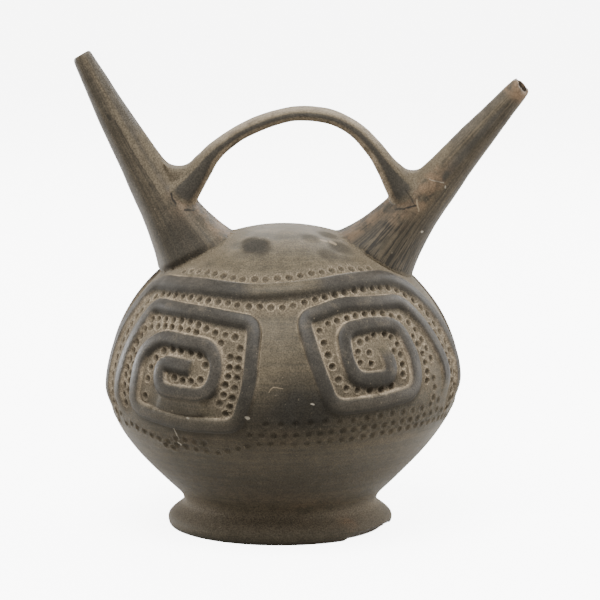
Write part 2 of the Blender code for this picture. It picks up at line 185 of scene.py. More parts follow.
FLAT_EDGE = FOOT_RADIUS - FOOT_EDGE_ROUND
INNER_EDGE = FLAT_EDGE - FOOT_RING_WIDTH
under_foot = [(0, FOOT_HOLLOW_DEPTH)]
under_foot += [(INNER_EDGE * out, FOOT_HOLLOW_DEPTH * up) for out, up in (
    (0.25, 1.0), (0.45, 1.0), (0.7, 0.93), (0.84, 0.81), (0.92, 0.66), (0.965, 0.42), (1.0, 0))]
foot_edge = [(radius, 0) for radius in spaced(INNER_EDGE, FLAT_EDGE, RING_ROW)[1:]]
foot_edge += [(FLAT_EDGE + FOOT_EDGE_ROUND * math.sin(a), FOOT_EDGE_RISE * (1 - math.cos(a)))
              for a in spaced(0, math.pi / 2, 0.3)[1:-1]]
foot_top = WAIST_LEVEL - WAIST_ROUND
foot_flank = [(foot_radius(level), level) for level in spaced(FOOT_EDGE_RISE, foot_top, FLANK_ROW)]
lower_belly = [(wall_radius(level), level) for level in spaced(foot_top, STRIP_LOW, BELLY_ROW)[1:]]
crown = []
for share in spaced(0, 0.94, 0.036):
    level = DOME_LEVEL - (DOME_LEVEL - STRIP_HIGH) * (1 - share) ** 2
    crown.append((wall_radius(level), level))
crown.append((0, DOME_LEVEL))

foot = turn("foot", under_foot + foot_edge + foot_flank + lower_belly, BODY_SIDES)
dome = turn("dome", crown, BODY_SIDES)

for vert in foot.data.vertices:
    radius = math.hypot(vert.co.x, vert.co.y)
    if vert.co.z < CHIP_TOP and radius > FLAT_EDGE - CHIP_REACH:
        lost = chip_share(math.degrees(math.atan2(vert.co.x, -vert.co.y)))
        lost *= smooth_step(1 - (FLAT_EDGE - radius) / CHIP_REACH)
        lost *= smooth_step((CHIP_TOP - vert.co.z) / 0.0034)
        ragged = 1 + 0.5 * noise.noise(vert.co * 700)
        vert.co.xy *= 1 - CHIP_DEPTH * lost * ragged / radius
        vert.co.z += (CHIP_HEIGHT * ragged - vert.co.z * 0.4) * lost

# The carved strip
# Round the belly the potter cut the ground back and left bands standing, two spirals under one
# wide frame, then rubbed their tops dark and punched rows of dots with a reed into the ground.
BAND_HEIGHT = 0.0019
SPIRAL_WIDTH = 0.0062
FRAME_WIDTH = 0.0076
WIDE_BOTTOM_WIDTH = 0.0074
BAND_STEP = 0.00135
MOST_ROUNDED = 0.48
BAND_CLEARANCE = 1.12
BAND_ROWS = (0, 0.42, 0.64, 0.8, 0.93, 1.06, 1.2, 1.36)
DOT_RADIUS = 0.0015
DOT_DEPTH = 0.0011
DOT_RIM = 0.00036
DOT_REACH = 0.0026
DOT_RINGS = ((0.45, 6), (0.8, 9), (1.0, 12), (1.21, 12), (1.5, 11))
DOT_WOBBLE = 0.00028
GROUND_STEP = 0.0021
ARC_STEP = 0.0004
WALK_STEP = 0.0002
CREASE_END = 0.003
SOFT_END = 0.012
BACK_TURNS_LEFT_OUT = 5

# How near one point of the mesh may lie to the next, and to the strip's edge
DOT_MIDDLE_GAP = 0.0003
DOT_RING_GAP = 0.00034
BAND_GAP = 0.00042
EDGE_GAP = 0.0006
GROUND_GAP = 0.0013

# Bands as corners: degrees round from the front, and share of the dome's level
LEFT_SPIRAL = [
    (-30.5, 0.603), (-44.6, 0.614), (-43.4, 0.522), (-24.5, 0.520), (-21.4, 0.605),
    (-25.0, 0.674), (-47.5, 0.686), (-55.6, 0.625), (-55.4, 0.452), (-33.0, 0.424),
    (-14.0, 0.430), (-10.7, 0.560), (-10.4, 0.750), (-33.0, 0.768), (-60.4, 0.772),
    (-65.0, 0.640), (-67.0, 0.490), (-63.0, 0.400),
]
RIGHT_SPIRAL = [
    (36.0, 0.674), (38.0, 0.570), (24.0, 0.570), (21.0, 0.640), (21.6, 0.724),
    (34.0, 0.736), (45.6, 0.724), (48.4, 0.610), (46.8, 0.512), (30.0, 0.496),
    (15.6, 0.490), (11.4, 0.605), (6.8, 0.764), (24.0, 0.799), (54.5, 0.787),
    (61.0, 0.700), (66.2, 0.560), (63.5, 0.445),
]
FRAME_BAND = [
    (-76.0, 0.395), (-79.4, 0.540), (-79.6, 0.700), (-74.5, 0.828), (-40.0, 0.842),
    (-13.0, 0.835), (9.0, 0.846), (34.0, 0.861), (57.0, 0.856), (68.5, 0.810),
    (76.0, 0.705), (79.5, 0.570), (76.0, 0.415),
]
WIDE_BOTTOM = [(-44.0, 0.494), (-41.0, 0.482), (-31.0, 0.477), (-23.5, 0.490)]

# Rows of dots: corners in degrees from the front and metres up, pitch, share of the full depth
# and how much pale dust lies round them
OUTER_DOTS = [
    ([(-61, .1108), (-51, .1122), (-38, .1117), (-23, .1107), (-6, .1111), (10, .1124), (30, .1139),
      (45, .1130), (52, .1126)], 0.0047, 0.95, 0.6),
    ([(-66, .1002), (-60.5, .1022), (-39, .1026), (-4.5, .1008), (2, .1012), (14, .1040), (30, .1060),
      (46, .1061), (56, .1046), (63, .1002), (68, .0940), (72, .0850), (74.3, .0770), (75.5, .0690),
      (74.5, .0560)], 0.0046, 1.0, 1.0),
    ([(-69.5, .0975), (-71.5, .0900), (-73.2, .0800), (-74.0, .0680), (-73.5, .0590), (-71.5, .0520)],
     0.0037, 0.9, 0.8),
    ([(-69.2, .0830), (-70.3, .0720), (-70.5, .0620), (-68.5, .0530)], 0.0038, 0.9, 0.7),
    ([(65.5, .0890), (68.4, .0820), (70.2, .0760), (71.5, .0680), (70.5, .0600), (69, .0530)],
     0.0036, 0.9, 0.8),
]
LEFT_DOTS = [
    ([(-58.0, .0925), (-54.8, .0933), (-39.5, .0940), (-30.8, .0928), (-22.4, .0902), (-15.2, .0894)],
     0.0045, 1.0, 1.0),
    ([(-59.8, .0882), (-56.0, .0893), (-50.9, .0908), (-34.6, .0910), (-26.7, .0889), (-18.8, .0857)],
     0.0043, 1.0, 1.0),
    ([(-61.4, .0862), (-61.9, .0790), (-62.6, .0700), (-62.6, .0630), (-61.2, .0570)], 0.0036, 0.9, 0.8),
    ([(-58.6, .0850), (-58.9, .0780), (-59.6, .0690), (-59.4, .0620)], 0.0036, 0.9, 0.8),
    ([(-17.9, .0820), (-17.6, .0765), (-18.6, .0720), (-19.2, .0661), (-20.8, .0620), (-23.6, .0604)],
     0.0037, 0.95, 0.9),
    ([(-14.9, .0855), (-14.8, .0792), (-15.2, .0748), (-15.9, .0673), (-17.0, .0600), (-20.6, .0583)],
     0.0039, 0.95, 0.9),
]
LEFT_INNER_DOTS = [
    ([(-49.4, .0700), (-48.8, .0768), (-45.8, .0812), (-41.1, .0832), (-32.7, .0830), (-28.2, .0812),
      (-25.7, .0770)], 0.0047, 1.0, 1.0),
    ([(-37.9, .0722), (-34.6, .0716), (-30.8, .0718), (-27.0, .0728), (-25.9, .0752)], 0.0042, 1.0, 1.0),
    ([(-49.3, .0672), (-49.8, .0625)], 0.0040, 0.9, 0.8),
]
RIGHT_DOTS = [
    ([(16.5, .0945), (23.7, .0961), (31.8, .0967), (40.7, .0963), (48.5, .0947), (53.0, .0915),
      (55.6, .0860), (57.4, .0790), (58.2, .0735)], 0.0044, 1.0, 1.0),
    ([(13.2, .0925), (13.6, .0890), (15.0, .0848), (16.8, .0762), (18.3, .0717), (20.8, .0690),
      (25.8, .0686), (33.6, .0691), (40.5, .0698)], 0.0052, 1.0, 1.0),
    ([(52.0, .0868), (53.6, .0800), (54.0, .0730), (52.8, .0660)], 0.0038, 1.0, 0.9),
    ([(57.0, .0690), (57.5, .0620), (55.0, .0580)], 0.0040, 0.7, 0.5),
]
RIGHT_INNER_DOTS = [
    ([(27.3, .0868), (31.5, .0884), (35.4, .0888), (40.0, .0885), (42.6, .0850), (43.0, .0795),
      (42.6, .0755), (41.8, .0720)], 0.0040, 1.0, 0.9),
    ([(40.2, .0822), (39.9, .0770)], 0.0042, 0.9, 0.8),
    ([(26.2, .0840), (26.4, .0790)], 0.0046, 1.0, 1.0),
    ([(30.4, .0828), (30.2, .0785)], 0.0042, 1.0, 1.0),
]
BOTTOM_DOTS = [
    ([(-64, .0500), (-56, .0478), (-46, .0452), (-38, .0443), (-30, .0433), (-22, .0427), (-15, .0446),
      (-9, .0474), (9, .0477), (24, .0488), (40, .0499), (62, .0508), (88, .0480)], 0.0046, 0.55, 0.15),
    ([(-78, .0500), (-62, .0468), (-50, .0445), (-44, .0428), (-36, .0418)], 0.0042, 0.6, 0.25),
    ([(-70, .0535), (-62, .0512), (-50, .0482), (-38, .0470), (-24, .0462)], 0.0045, 0.5, 0.15),
    ([(-10, .0513), (2, .0510), (18, .0521), (32, .0530), (48, .0535), (66, .0555), (86, .0525)],
     0.0046, 0.6, 0.15),
    ([(-5, .0556), (8, .0562), (20, .0566), (36, .0576), (52, .0575), (64, .0600)], 0.0058, 0.5, 0.1),
]

hand = random.Random(7)


def even_arcs():
    """Levels of the strip with the distance along the wall up to each."""
    levels = spaced(STRIP_LOW, STRIP_HIGH, ARC_STEP)
    arcs = [0.0]
    for low, high in zip(levels, levels[1:]):
        arcs.append(arcs[-1] + math.hypot(high - low, wall_radius(high) - wall_radius(low)))
    return levels, arcs


strip_levels, strip_arcs = even_arcs()
strip_height = strip_arcs[-1]
strip_width = 2 * math.pi * BELLY_RADIUS


def look_up(keys, values, key):
    i = min(max(bisect.bisect_left(keys, key), 1), len(keys) - 1)
    share = (key - keys[i - 1]) / (keys[i] - keys[i - 1])
    return values[i - 1] + share * (values[i] - values[i - 1])


def lay_flat(degrees, level):
    """Place on the strip laid flat: x runs round the belly from the left side, y up the wall."""
    return Vector((math.radians(degrees + 90) * BELLY_RADIUS, look_up(strip_levels, strip_arcs, level)))


def azimuth_of(spot):
    return spot.x / BELLY_RADIUS - math.pi / 2


def level_of(spot):
    return look_up(strip_arcs, strip_levels, spot.y)


def wrap(spot, height=0.0):
    """From the flat strip back onto the pot."""
    return on_wall(azimuth_of(spot), level_of(spot), height)


def stretch(spot):
    """How much narrower the pot is here than at its belly."""
    return wall_radius(level_of(spot)) / BELLY_RADIUS


def inside_strip(spot, room):
    return room < spot.x < strip_width - room and room < spot.y < strip_height - room


def heading(line, i):
    """The step from the point before to the point after, on a line of points."""
    return line[min(i + 1, len(line) - 1)] - line[max(i - 1, 0)]


def rounded_line(corners, rounding):
    """Middle line of a band: straight runs with rounded corners, in even short steps."""
    path = [corners[0]]
    for before, corner, after in zip(corners, corners[1:], corners[2:]):
        back = before - corner
        on = after - corner
        start = corner + back.normalized() * min(rounding, back.length * MOST_ROUNDED)
        end = corner + on.normalized() * min(rounding, on.length * MOST_ROUNDED)
        for t in spaced(0, 1, 0.1):
            path.append(start * (1 - t) ** 2 + corner * 2 * t * (1 - t) + end * t ** 2)
    path.append(corners[-1])
    line = [path[0]]
    for point in path[1:]:
        while (point - line[-1]).length > BAND_STEP:
            line.append(line[-1] + (point - line[-1]).normalized() * BAND_STEP)
    return line


def near_tree(points):
    """A tree that finds the nearest of these points."""
    tree = KDTree(len(points))
    for i, point in enumerate(points):
        tree.insert(point, i)
    tree.balance()
    return tree


class Band:
    """One raised band: its middle line on the flat strip and on the pot."""

    def __init__(self, corners, width, fades, full=1.0, behind=False):
        if behind:
            corners = [(180 - degrees, share) for degrees, share in corners]
        self.half = width / 2
        flat = [lay_flat(degrees, share * DOME_LEVEL) for degrees, share in corners]
        self.line = rounded_line(flat, width)
        fine = [a.lerp(b, t) for a, b in zip(self.line, self.line[1:]) for t in (0, 1 / 3, 2 / 3)]
        self.tree = near_tree([wrap(spot) for spot in fine])
        run = BAND_STEP / 3
        self.fullness = []
        for i in range(len(fine)):
            at_start, at_end = i * run / fades[0], (len(fine) - 1 - i) * run / fades[1]
            self.fullness.append(full * smooth_step(at_start) * smooth_step(at_end))

    def share_across(self, spot):
        """Distance from the middle line as a share of the half width, the nearest point, its fullness."""
        nearest, i, distance = self.tree.find(spot)
        return distance / self.half, nearest, self.fullness[i]


def lowness(spot, middle):
    """0 on the upper side of a band and 1 on its lower side."""
    return smooth_step(-1.4 * (spot - middle).normalized().z)


def ridge(share, low):
    """Cross-section of a band: a gently rounded top, a steep upper side and a long lower one."""
    shoulder = 0.80 - 0.14 * low
    if share < shoulder:
        return 1 - 0.2 * (share / shoulder) ** 2
    return 0.8 * (1 - smooth_step((share - shoulder) / (0.28 + 0.36 * low)))


bands = []
for behind in (False, True):
    left_out = BACK_TURNS_LEFT_OUT if behind else 0
    bands.append(Band(LEFT_SPIRAL[left_out:], SPIRAL_WIDTH, (CREASE_END, SOFT_END), behind=behind))
    bands.append(Band(RIGHT_SPIRAL[left_out:], SPIRAL_WIDTH, (0.009, SOFT_END), behind=behind))
    bands.append(Band(FRAME_BAND, FRAME_WIDTH, (SOFT_END, SOFT_END), behind=behind))
bands.append(Band(WIDE_BOTTOM, WIDE_BOTTOM_WIDTH, (CREASE_END, CREASE_END), full=0.62))


def nearest_band(spot):
    """The band that a point of the wall is deepest in: its share across, nearest point and fullness."""
    return min((band.share_across(spot) for band in bands), key=lambda found: found[0])


def band_lift(spot):
    """How far the bands stand out of the wall at a point of it."""
    highest = 0.0
    for band in bands:
        share, middle, fullness = band.share_across(spot)
        if share < 1.5:
            highest = max(highest, BAND_HEIGHT * fullness * ridge(share, lowness(spot, middle)))
    return highest


class Dot:
    """One punched dot, each a little different; dust is how much pale dust lies round it."""

    def __init__(self, flat, depth, dust):
        self.flat = flat
        self.place = wrap(flat)
        self.radius = DOT_RADIUS * hand.uniform(0.88, 1.1)
        self.depth = DOT_DEPTH * depth * hand.uniform(0.8, 1.1)
        self.rim = DOT_RIM * depth * hand.uniform(0.6, 1.15)
        self.dust = dust

    def on_rim(self, distance):
        """1 on the crest of the rim, less beside it."""
        return math.exp(-((distance / self.radius - 1.2) / 0.2) ** 2)

    def dent(self, distance):
        """Height of the clay at a distance from the dot's middle: a pit with a pushed-up rim."""
        pit = 1 - min(distance / self.radius, 1) ** 3
        return self.rim * self.on_rim(distance) - self.depth * pit


dots = []


def off_the_bands(spot):
    """The place pushed straight away from the nearest band until a dot fits beside it."""
    share, nearest, _ = nearest_band(wrap(spot))
    short = SPIRAL_WIDTH / 2 + DOT_RADIUS * 0.95 - share * SPIRAL_WIDTH / 2
    if short <= 0:
        return spot
    away = wrap(spot) - nearest
    azimuth = azimuth_of(spot)
    sideways = away.dot(Vector((math.cos(azimuth), math.sin(azimuth), 0)))
    upward = math.copysign(math.sqrt(max(away.length_squared - sideways ** 2, 0)), away.z)
    return spot + Vector((sideways / stretch(spot), upward)) * (short / max(away.length, 0.0005))


def has_room(spot):
    """Whether a dot here clears the bands, the other dots and the strip's edges."""
    if nearest_band(wrap(spot))[0] < BAND_CLEARANCE or not inside_strip(spot, DOT_REACH):
        return False
    return all((wrap(spot) - dot.place).length >= DOT_RADIUS * 2.0 for dot in dots)


def punch_row(corners, pitch, depth, dust, behind):
    """Punch a row of dots through its corners, one every pitch, wherever there is room."""
    if behind:
        corners = [(180 - degrees, level) for degrees, level in corners]
    corners = [lay_flat(*corner) for corner in corners]
    walked = pitch
    for start, end in zip(corners, corners[1:]):
        steps = spaced(0, 1, WALK_STEP / (end - start).length)
        for before, here in zip(steps, steps[1:]):
            spot = start.lerp(end, here)
            walked += (wrap(spot) - wrap(start.lerp(end, before))).length
            if walked >= pitch:
                walked = 0.0
                wobble = Vector((hand.uniform(-1, 1), hand.uniform(-1, 1))) * DOT_WOBBLE
                spot = off_the_bands(spot + wobble)
                if has_room(spot):
                    dots.append(Dot(spot, depth, dust))


for row in LEFT_INNER_DOTS + RIGHT_INNER_DOTS:
    punch_row(*row, behind=False)
for behind in (False, True):
    for row in OUTER_DOTS + LEFT_DOTS + RIGHT_DOTS + BOTTOM_DOTS:
        punch_row(*row, behind=behind)

dot_tree = near_tree([dot.place for dot in dots])


def carved_height(spot):
    """How far the carved surface stands out of the bare wall at a point of it."""
    carved = band_lift(spot)
    for _, i, distance in dot_tree.find_range(spot, DOT_REACH):
        carved += dots[i].dent(distance)
    return carved


class Scatter:
    """Points of the flat strip, none too close to another."""

    def __init__(self):
        self.cell = 0.0005
        self.points = []
        self.taken = {}

    def add(self, point, clear):
        column, row = int(point.x / self.cell), int(point.y / self.cell)
        reach = math.ceil(clear / self.cell)
        for i in range(column - reach, column + reach + 1):
            for j in range(row - reach, row + reach + 1):
                for other in self.taken.get((i, j), ()):
                    if (other - point).length < clear:
                        return
        self.points.append(point)
        self.taken.setdefault((column, row), []).append(point)


scatter = Scatter()
for column in range(BODY_SIDES + 1):
    for y in (0.0, strip_height):
        scatter.add(Vector((strip_width * column / BODY_SIDES, y)), SAME_POINT)
for y in spaced(0, strip_height, GROUND_STEP)[1:-1]:
    for x in (0.0, strip_width):
        scatter.add(Vector((x, y)), SAME_POINT)
for dot in dots:
    narrow = stretch(dot.flat)
    scatter.add(dot.flat, DOT_MIDDLE_GAP)
    for share, count in DOT_RINGS:
        for i in range(count):
            angle = 2 * math.pi * (i + share) / count
            reach = dot.radius * share
            spot = dot.flat + Vector((math.cos(angle) / narrow, math.sin(angle))) * reach
            if inside_strip(spot, EDGE_GAP):
                scatter.add(spot, DOT_RING_GAP)
for band in bands:
    for i, point in enumerate(band.line):
        ahead = heading(band.line, i)
        narrow = stretch(point)
        across = Vector((-ahead.y, ahead.x * narrow)).normalized() * band.half
        across.x /= narrow
        for share in BAND_ROWS:
            for side in (-share, share):
                spot = point + across * side
                if inside_strip(spot, EDGE_GAP):
                    scatter.add(spot, BAND_GAP)
for r, y in enumerate(spaced(0, strip_height, GROUND_STEP * 0.87)):
    for x in spaced(GROUND_STEP * (r % 2) / 2, strip_width, GROUND_STEP):
        spot = Vector((x, y))
        if inside_strip(spot, EDGE_GAP):
            scatter.add(spot, GROUND_GAP)

flat, _, triangles, _, _, _ = delaunay_2d_cdt(scatter.points, [], [], 0, SAME_POINT / 4)
carved = [wrap(spot, carved_height(wrap(spot))) for spot in flat]
vessel = new_piece("burnished_vessel", carved, (), triangles)
only(vessel, foot, dome)
bpy.ops.object.join()
close_up(vessel)

# Hands leave a wall gently uneven: it is only ever lower than the true round, never prouder
WAVE_DEPTH = 0.0005
for vert in vessel.data.vertices:
    co = vert.co
    slow = 0.5 + 0.5 * noise.noise(co * 34)
    quick = 0.5 + 0.5 * noise.noise(co * 95)
    fade = smooth_step((co.z - 0.0015) / 0.006)
    sunk = WAVE_DEPTH * (0.7 * slow + 0.3 * quick) * fade
    towards_middle = (co - Vector((0, 0, BELLY_LEVEL))).normalized()
    vert.co = co - towards_middle * sunk
for vert in vessel.data.vertices:
    vert.co.x -= lean(vert.co.z)

# The spouts
# Each spout was rolled round a stick, which left its narrow channel, then drawn thin, set on the
# dome with wet clay and brushed lengthwise. The right one's lip is broken in front.
MOUTH_RADIUS = 0.0042
MOUTH_WALL = 0.0017
MOUTH_ROUND = 0.0004
MOUTH_CHIP_DEPTH = 0.0022
MOUTH_CHIP_REACH = 0.004
SPOUT_ROOT_RADIUS = 0.0125
SPOUT_WALL = 0.0048
SPOUT_FLARE = 0.0046
SPOUT_FLARE_ACROSS = 0.0071
SPOUT_FLARE_POWER = 6.6
SPOUT_ROOT_DEPTH = 0.009
SPOUT_ROOT_INSET = 0.0023
SPOUT_ROOT_SPREAD = 0.0035
SPOUT_SIDES = 44
SPOUT_ROW = 0.002
BORE_SIDES = 28
BORE_ROW = 0.006
BORE_START = -0.014


class Spout:
    """Middle line and radii of one spout; side is -1 for the left one and 1 for the right."""

    def __init__(self, side, root_angle, length, tilt, turned, bow):
        self.side = side
        self.length = length
        self.bow = bow
        root_angle, tilt, turned = (math.radians(angle) for angle in (root_angle, tilt, turned))
        dome_share = math.cos(root_angle) ** (2 / DOME_FULLNESS)
        root_level = BELLY_LEVEL + (DOME_LEVEL - BELLY_LEVEL) * dome_share
        self.root = Vector((side * BELLY_RADIUS * math.sin(root_angle), 0, root_level))
        self.up = Vector((side * math.sin(tilt) * math.cos(turned), -math.sin(tilt) * math.sin(turned),
                          math.cos(tilt)))
        self.across = (Vector((0, 1, 0)) - self.up * self.up.y).normalized()
        self.outward = self.across.cross(self.up) * side

    def middle(self, along):
        """Point of the middle line at a distance from the root."""
        share = min(max(along / self.length, 0), 1)
        return self.root + self.up * along + self.outward * (self.bow * 4 * share * (1 - share))

    def radii(self, along):
        """Half widths in the spouts' own plane and across it."""
        from_mouth = min(max(1 - along / self.length, 0), 1.06)
        flare = from_mouth ** SPOUT_FLARE_POWER
        plain = MOUTH_RADIUS + (SPOUT_ROOT_RADIUS - MOUTH_RADIUS) * from_mouth
        return plain + SPOUT_FLARE * flare, plain + SPOUT_FLARE_ACROSS * flare

    def channel(self, along):
        """Radius of the hollow inside the spout."""
        root_bore, mouth_bore = SPOUT_ROOT_RADIUS - SPOUT_WALL, MOUTH_RADIUS - MOUTH_WALL
        return root_bore + (mouth_bore - root_bore) * min(max(along / self.length, 0), 1)

    def ring(self, along, half_out, half_across, sides, chip=0.0):
        """One ring of points; chip drops its front lip along the spout."""
        points = []
        for i in range(sides):
            angle = 2 * math.pi * i / sides
            point = self.middle(along) + self.outward * half_out * math.cos(angle)
            point += self.across * half_across * math.sin(angle)
            front = max(0.0, -math.sin(angle - 0.5 * self.side)) ** 1.5
            points.append(point - self.up * chip * front)
        return points

    def measure(self, spot):
        """Distance along the spout, and share of its radius out from its middle line."""
        along = (spot - self.root).dot(self.up)
        half_out, half_across = self.radii(along)
        from_middle = spot - self.middle(min(max(along, -SPOUT_ROOT_DEPTH), self.length))
        out, across = from_middle.dot(self.outward), from_middle.dot(self.across)
        return along, math.hypot(out / half_out, across / half_across), out, across


def loft(name, rings):
    """Closed solid through rings of as many points, with both ends filled."""
    count = len(rings[0])
    points = [point for ring in rings for point in ring]
    faces = []
    for r in range(len(rings) - 1):
        for i in range(count):
            j = (i + 1) % count
            faces.append((r * count + i, r * count + j, (r + 1) * count + j, (r + 1) * count + i))
    faces.append(tuple(range(count)))
    faces.append(tuple((len(rings) - 1) * count + i for i in range(count)))
    made = new_piece(name, points, (), faces)
    close_up(made)
    return made


def form_spout(name, spout, chip):
    """A spout from inside the dome to its lip; its foot is tucked in under the strap."""
    root = []
    for i, point in enumerate(spout.ring(-SPOUT_ROOT_DEPTH, *spout.radii(0), SPOUT_SIDES)):
        angle = 2 * math.pi * i / SPOUT_SIDES
        tucked = smooth_step((math.cos(angle) + 0.85) / 0.9)
        from_middle = point - spout.middle(-SPOUT_ROOT_DEPTH)
        reach = SPOUT_ROOT_SPREAD * (1 - tucked) - SPOUT_ROOT_INSET * tucked
        root.append(point + from_middle.normalized() * reach)
    rings = [root]
    for along in spaced(0, spout.length - 2 * MOUTH_ROUND, SPOUT_ROW):
        chipped = chip * (along > spout.length - MOUTH_CHIP_REACH)
        rings.append(spout.ring(along, *spout.radii(along), SPOUT_SIDES, chipped))
    lip = MOUTH_RADIUS - MOUTH_ROUND
    rings.append(spout.ring(spout.length, lip, lip, SPOUT_SIDES, chip))
    return loft(name, rings)


def bore(name, spout):
    """The channel from the mouth down into the body, widening with the spout."""
    rings = []
    for along in spaced(BORE_START, spout.length + MOUTH_RADIUS, BORE_ROW):
        rings.append(spout.ring(along, spout.channel(along), spout.channel(along), BORE_SIDES))
    return loft(name, rings)


left = Spout(side=-1, root_angle=30.9, length=0.0935, tilt=30.1, turned=-6, bow=0.0012)
right = Spout(side=1, root_angle=33.1, length=0.0923, tilt=39.8, turned=8, bow=-0.0007)
left_spout = form_spout("left spout", left, 0)
right_spout = form_spout("right spout", right, MOUTH_CHIP_DEPTH)

# The handle
# A strap of clay was pressed onto both spouts low down and arched between them. Its flanks were
# pared flat, and small wads of clay fill the notches where it meets the spouts.
LEFT_JOIN_ALONG = 0.0205
RIGHT_JOIN_ALONG = 0.0235
HANDLE_WIDTH = 0.0185
HANDLE_THICKNESS = 0.0054
LEFT_END_THICKNESS = 0.0155
RIGHT_END_THICKNESS = 0.0195
HANDLE_END_FLARE = 0.0095
HANDLE_RISE = 0.0463
HANDLE_END_SPREAD = 0.0011
HANDLE_SIDES = 32
HANDLE_SQUARE_SIDES = 0.45
HANDLE_SQUARE_TOP = 0.75
HANDLE_LINE = [
    (0.073, 0.186), (0.136, 0.399), (0.177, 0.552), (0.232, 0.684), (0.309, 0.818),
    (0.404, 0.929), (0.502, 0.996), (0.588, 1.000), (0.678, 0.950), (0.761, 0.825),
    (0.833, 0.630), (0.883, 0.444), (0.926, 0.281), (0.973, 0.111),
]
# Each notch is filled up to a round hollow: its middle along and up, and its radius
NOTCHES = [(-0.0442, 0.1594, 0.0081), (0.0541, 0.1559, 0.0064)]
NOTCH_HALF_WIDTH = 0.0068
WAD_DEPTH = 0.010


def smooth_line(points, cuts):
    """A smooth curve through points, in as many cuts between each two."""
    ends = [points[0] * 2 - points[1]] + points + [points[-1] * 2 - points[-2]]
    line = []
    for a, b, c, d in zip(ends, ends[1:], ends[2:], ends[3:]):
        for i in range(cuts):
            t = i / cuts
            line.append(0.5 * (b * 2 + (c - a) * t + (a * 2 - b * 5 + c * 4 - d) * t ** 2
                               + (b * 3 - a - c * 3 + d) * t ** 3))
    line.append(points[-1])
    return line


def handle_end(i):
    """Where a point of the handle's line lies: -1 at its left end, 0 halfway, 1 at its right end."""
    return 2 * i / (len(handle_line) - 1) - 1


def handle_out(i):
    """Straight out of the strap's upper face at a point of its line."""
    ahead = heading(handle_line, i)
    return Vector((-ahead.z, 0, ahead.x)).normalized()


def handle_thickness(end):
    """Thickness of the strap: thinnest at its middle, spread where it is pressed on."""
    if end < 0:
        swell = (LEFT_END_THICKNESS - HANDLE_THICKNESS) * abs(end) ** 3
    else:
        swell = (RIGHT_END_THICKNESS - HANDLE_THICKNESS) * end ** 2.6
    return HANDLE_THICKNESS + swell + HANDLE_END_FLARE * end ** 14


handle_points = [left.middle(LEFT_JOIN_ALONG)]
handle_finish = right.middle(RIGHT_JOIN_ALONG)
for share_across, rise in HANDLE_LINE:
    point = handle_points[0].lerp(handle_finish, share_across)
    point.z += (DOME_LEVEL + HANDLE_RISE - point.z) * rise
    handle_points.append(point)
handle_points.append(handle_finish)
handle_line = smooth_line(handle_points, 5)
rings = []
for i, point in enumerate(handle_line):
    end = handle_end(i)
    half_thick = handle_thickness(end) / 2
    half_width = HANDLE_WIDTH / 2 + HANDLE_END_SPREAD * smooth_step((abs(end) - 0.72) / 0.24)
    ring = []
    for k in range(HANDLE_SIDES):
        angle = 2 * math.pi * (k + 0.5) / HANDLE_SIDES
        side, up = math.cos(angle), math.sin(angle)
        side = math.copysign(abs(side) ** HANDLE_SQUARE_SIDES, side)
        up = math.copysign(abs(up) ** HANDLE_SQUARE_TOP, up)
        ring.append(point + Vector((0, half_width * side, 0)) + handle_out(i) * (half_thick * up))
    rings.append(ring)
handle = loft("handle", rings)

wads = []
for middle_x, middle_z, radius in NOTCHES:
    outline = []
    for angle in spaced(math.radians(205), math.radians(335), 0.12):
        outline.append((middle_x + radius * math.cos(angle), middle_z + radius * math.sin(angle)))
    outline.append((middle_x, middle_z - radius - WAD_DEPTH))
    rings = [[Vector((x, y, z)) for x, z in outline] for y in (-NOTCH_HALF_WIDTH, NOTCH_HALF_WIDTH)]
    wads.append(loft("wad", rings))


def work(piece, kind, **settings):
    """Put a modifier on a piece with its settings and apply it."""
    only(piece)
    modifier = piece.modifiers.new(kind.title(), kind)
    for name, value in settings.items():
        setattr(modifier, name, value)
    bpy.ops.object.modifier_apply(modifier=modifier.name)


# Wet clay runs the spouts, the strap and the wads into one soft form
CLAY_GRAIN = 0.00062
SHARE_KEPT = 0.36
only(handle, left_spout, right_spout, *wads)
bpy.ops.object.join()
work(handle, "REMESH", mode="VOXEL", voxel_size=CLAY_GRAIN)
near_notch = handle.vertex_groups.new(name="near notch")
for vert in handle.data.vertices:
    gap = min((vert.co - Vector((x, vert.co.y, z))).length - radius for x, z, radius in NOTCHES)
    blended = smooth_step((0.0045 - gap) / 0.003) * smooth_step((0.0082 - abs(vert.co.y)) / 0.002)
    near_notch.add([vert.index], blended, "REPLACE")
work(handle, "SMOOTH", factor=0.5, iterations=9)
work(handle, "SMOOTH", factor=0.5, iterations=45, vertex_group="near notch")
work(handle, "DECIMATE", ratio=SHARE_KEPT)

# The clay is never quite even, and the right lip is broken
LIP_REACH = 0.0075
LIP_BREAK = 0.0011
lip = right.middle(right.length)
for vert, out in [(vert, vert.normal.copy()) for vert in handle.data.vertices]:
    wave = noise.noise(vert.co * 60) * 0.0003 + noise.noise(vert.co * 170) * 0.00012
    broken = smooth_step(1 - (vert.co - lip).length / LIP_REACH) * noise.noise(vert.co * 520) * LIP_BREAK
    vert.co += out * wave - right.up * max(broken, -0.0002)

# The hollow
# The inside follows the outside one wall's thickness in, and each spout's channel opens into it.
BODY_WALL = 0.005
FLOOR_THICKNESS = 0.006
CAVITY_CORNER = 0.002
CAVITY_SIDES = 64
CAVITY_ROWS = 26


def combine(whole, other, operation):
    """Join another solid to the whole or cut it away, and drop the other."""
    work(whole, "BOOLEAN", operation=operation, solver="EXACT", object=other)
    bpy.data.objects.remove(other, do_unlink=True)


inner_floor = FOOT_HOLLOW_DEPTH + FLOOR_THICKNESS
inner_top = DOME_LEVEL - BODY_WALL
floor_radius = WAIST_RADIUS - BODY_WALL - CAVITY_CORNER


def inner_radius(level):
    return bowl_radius(level, inner_floor, floor_radius, BELLY_RADIUS - BODY_WALL, inner_top)


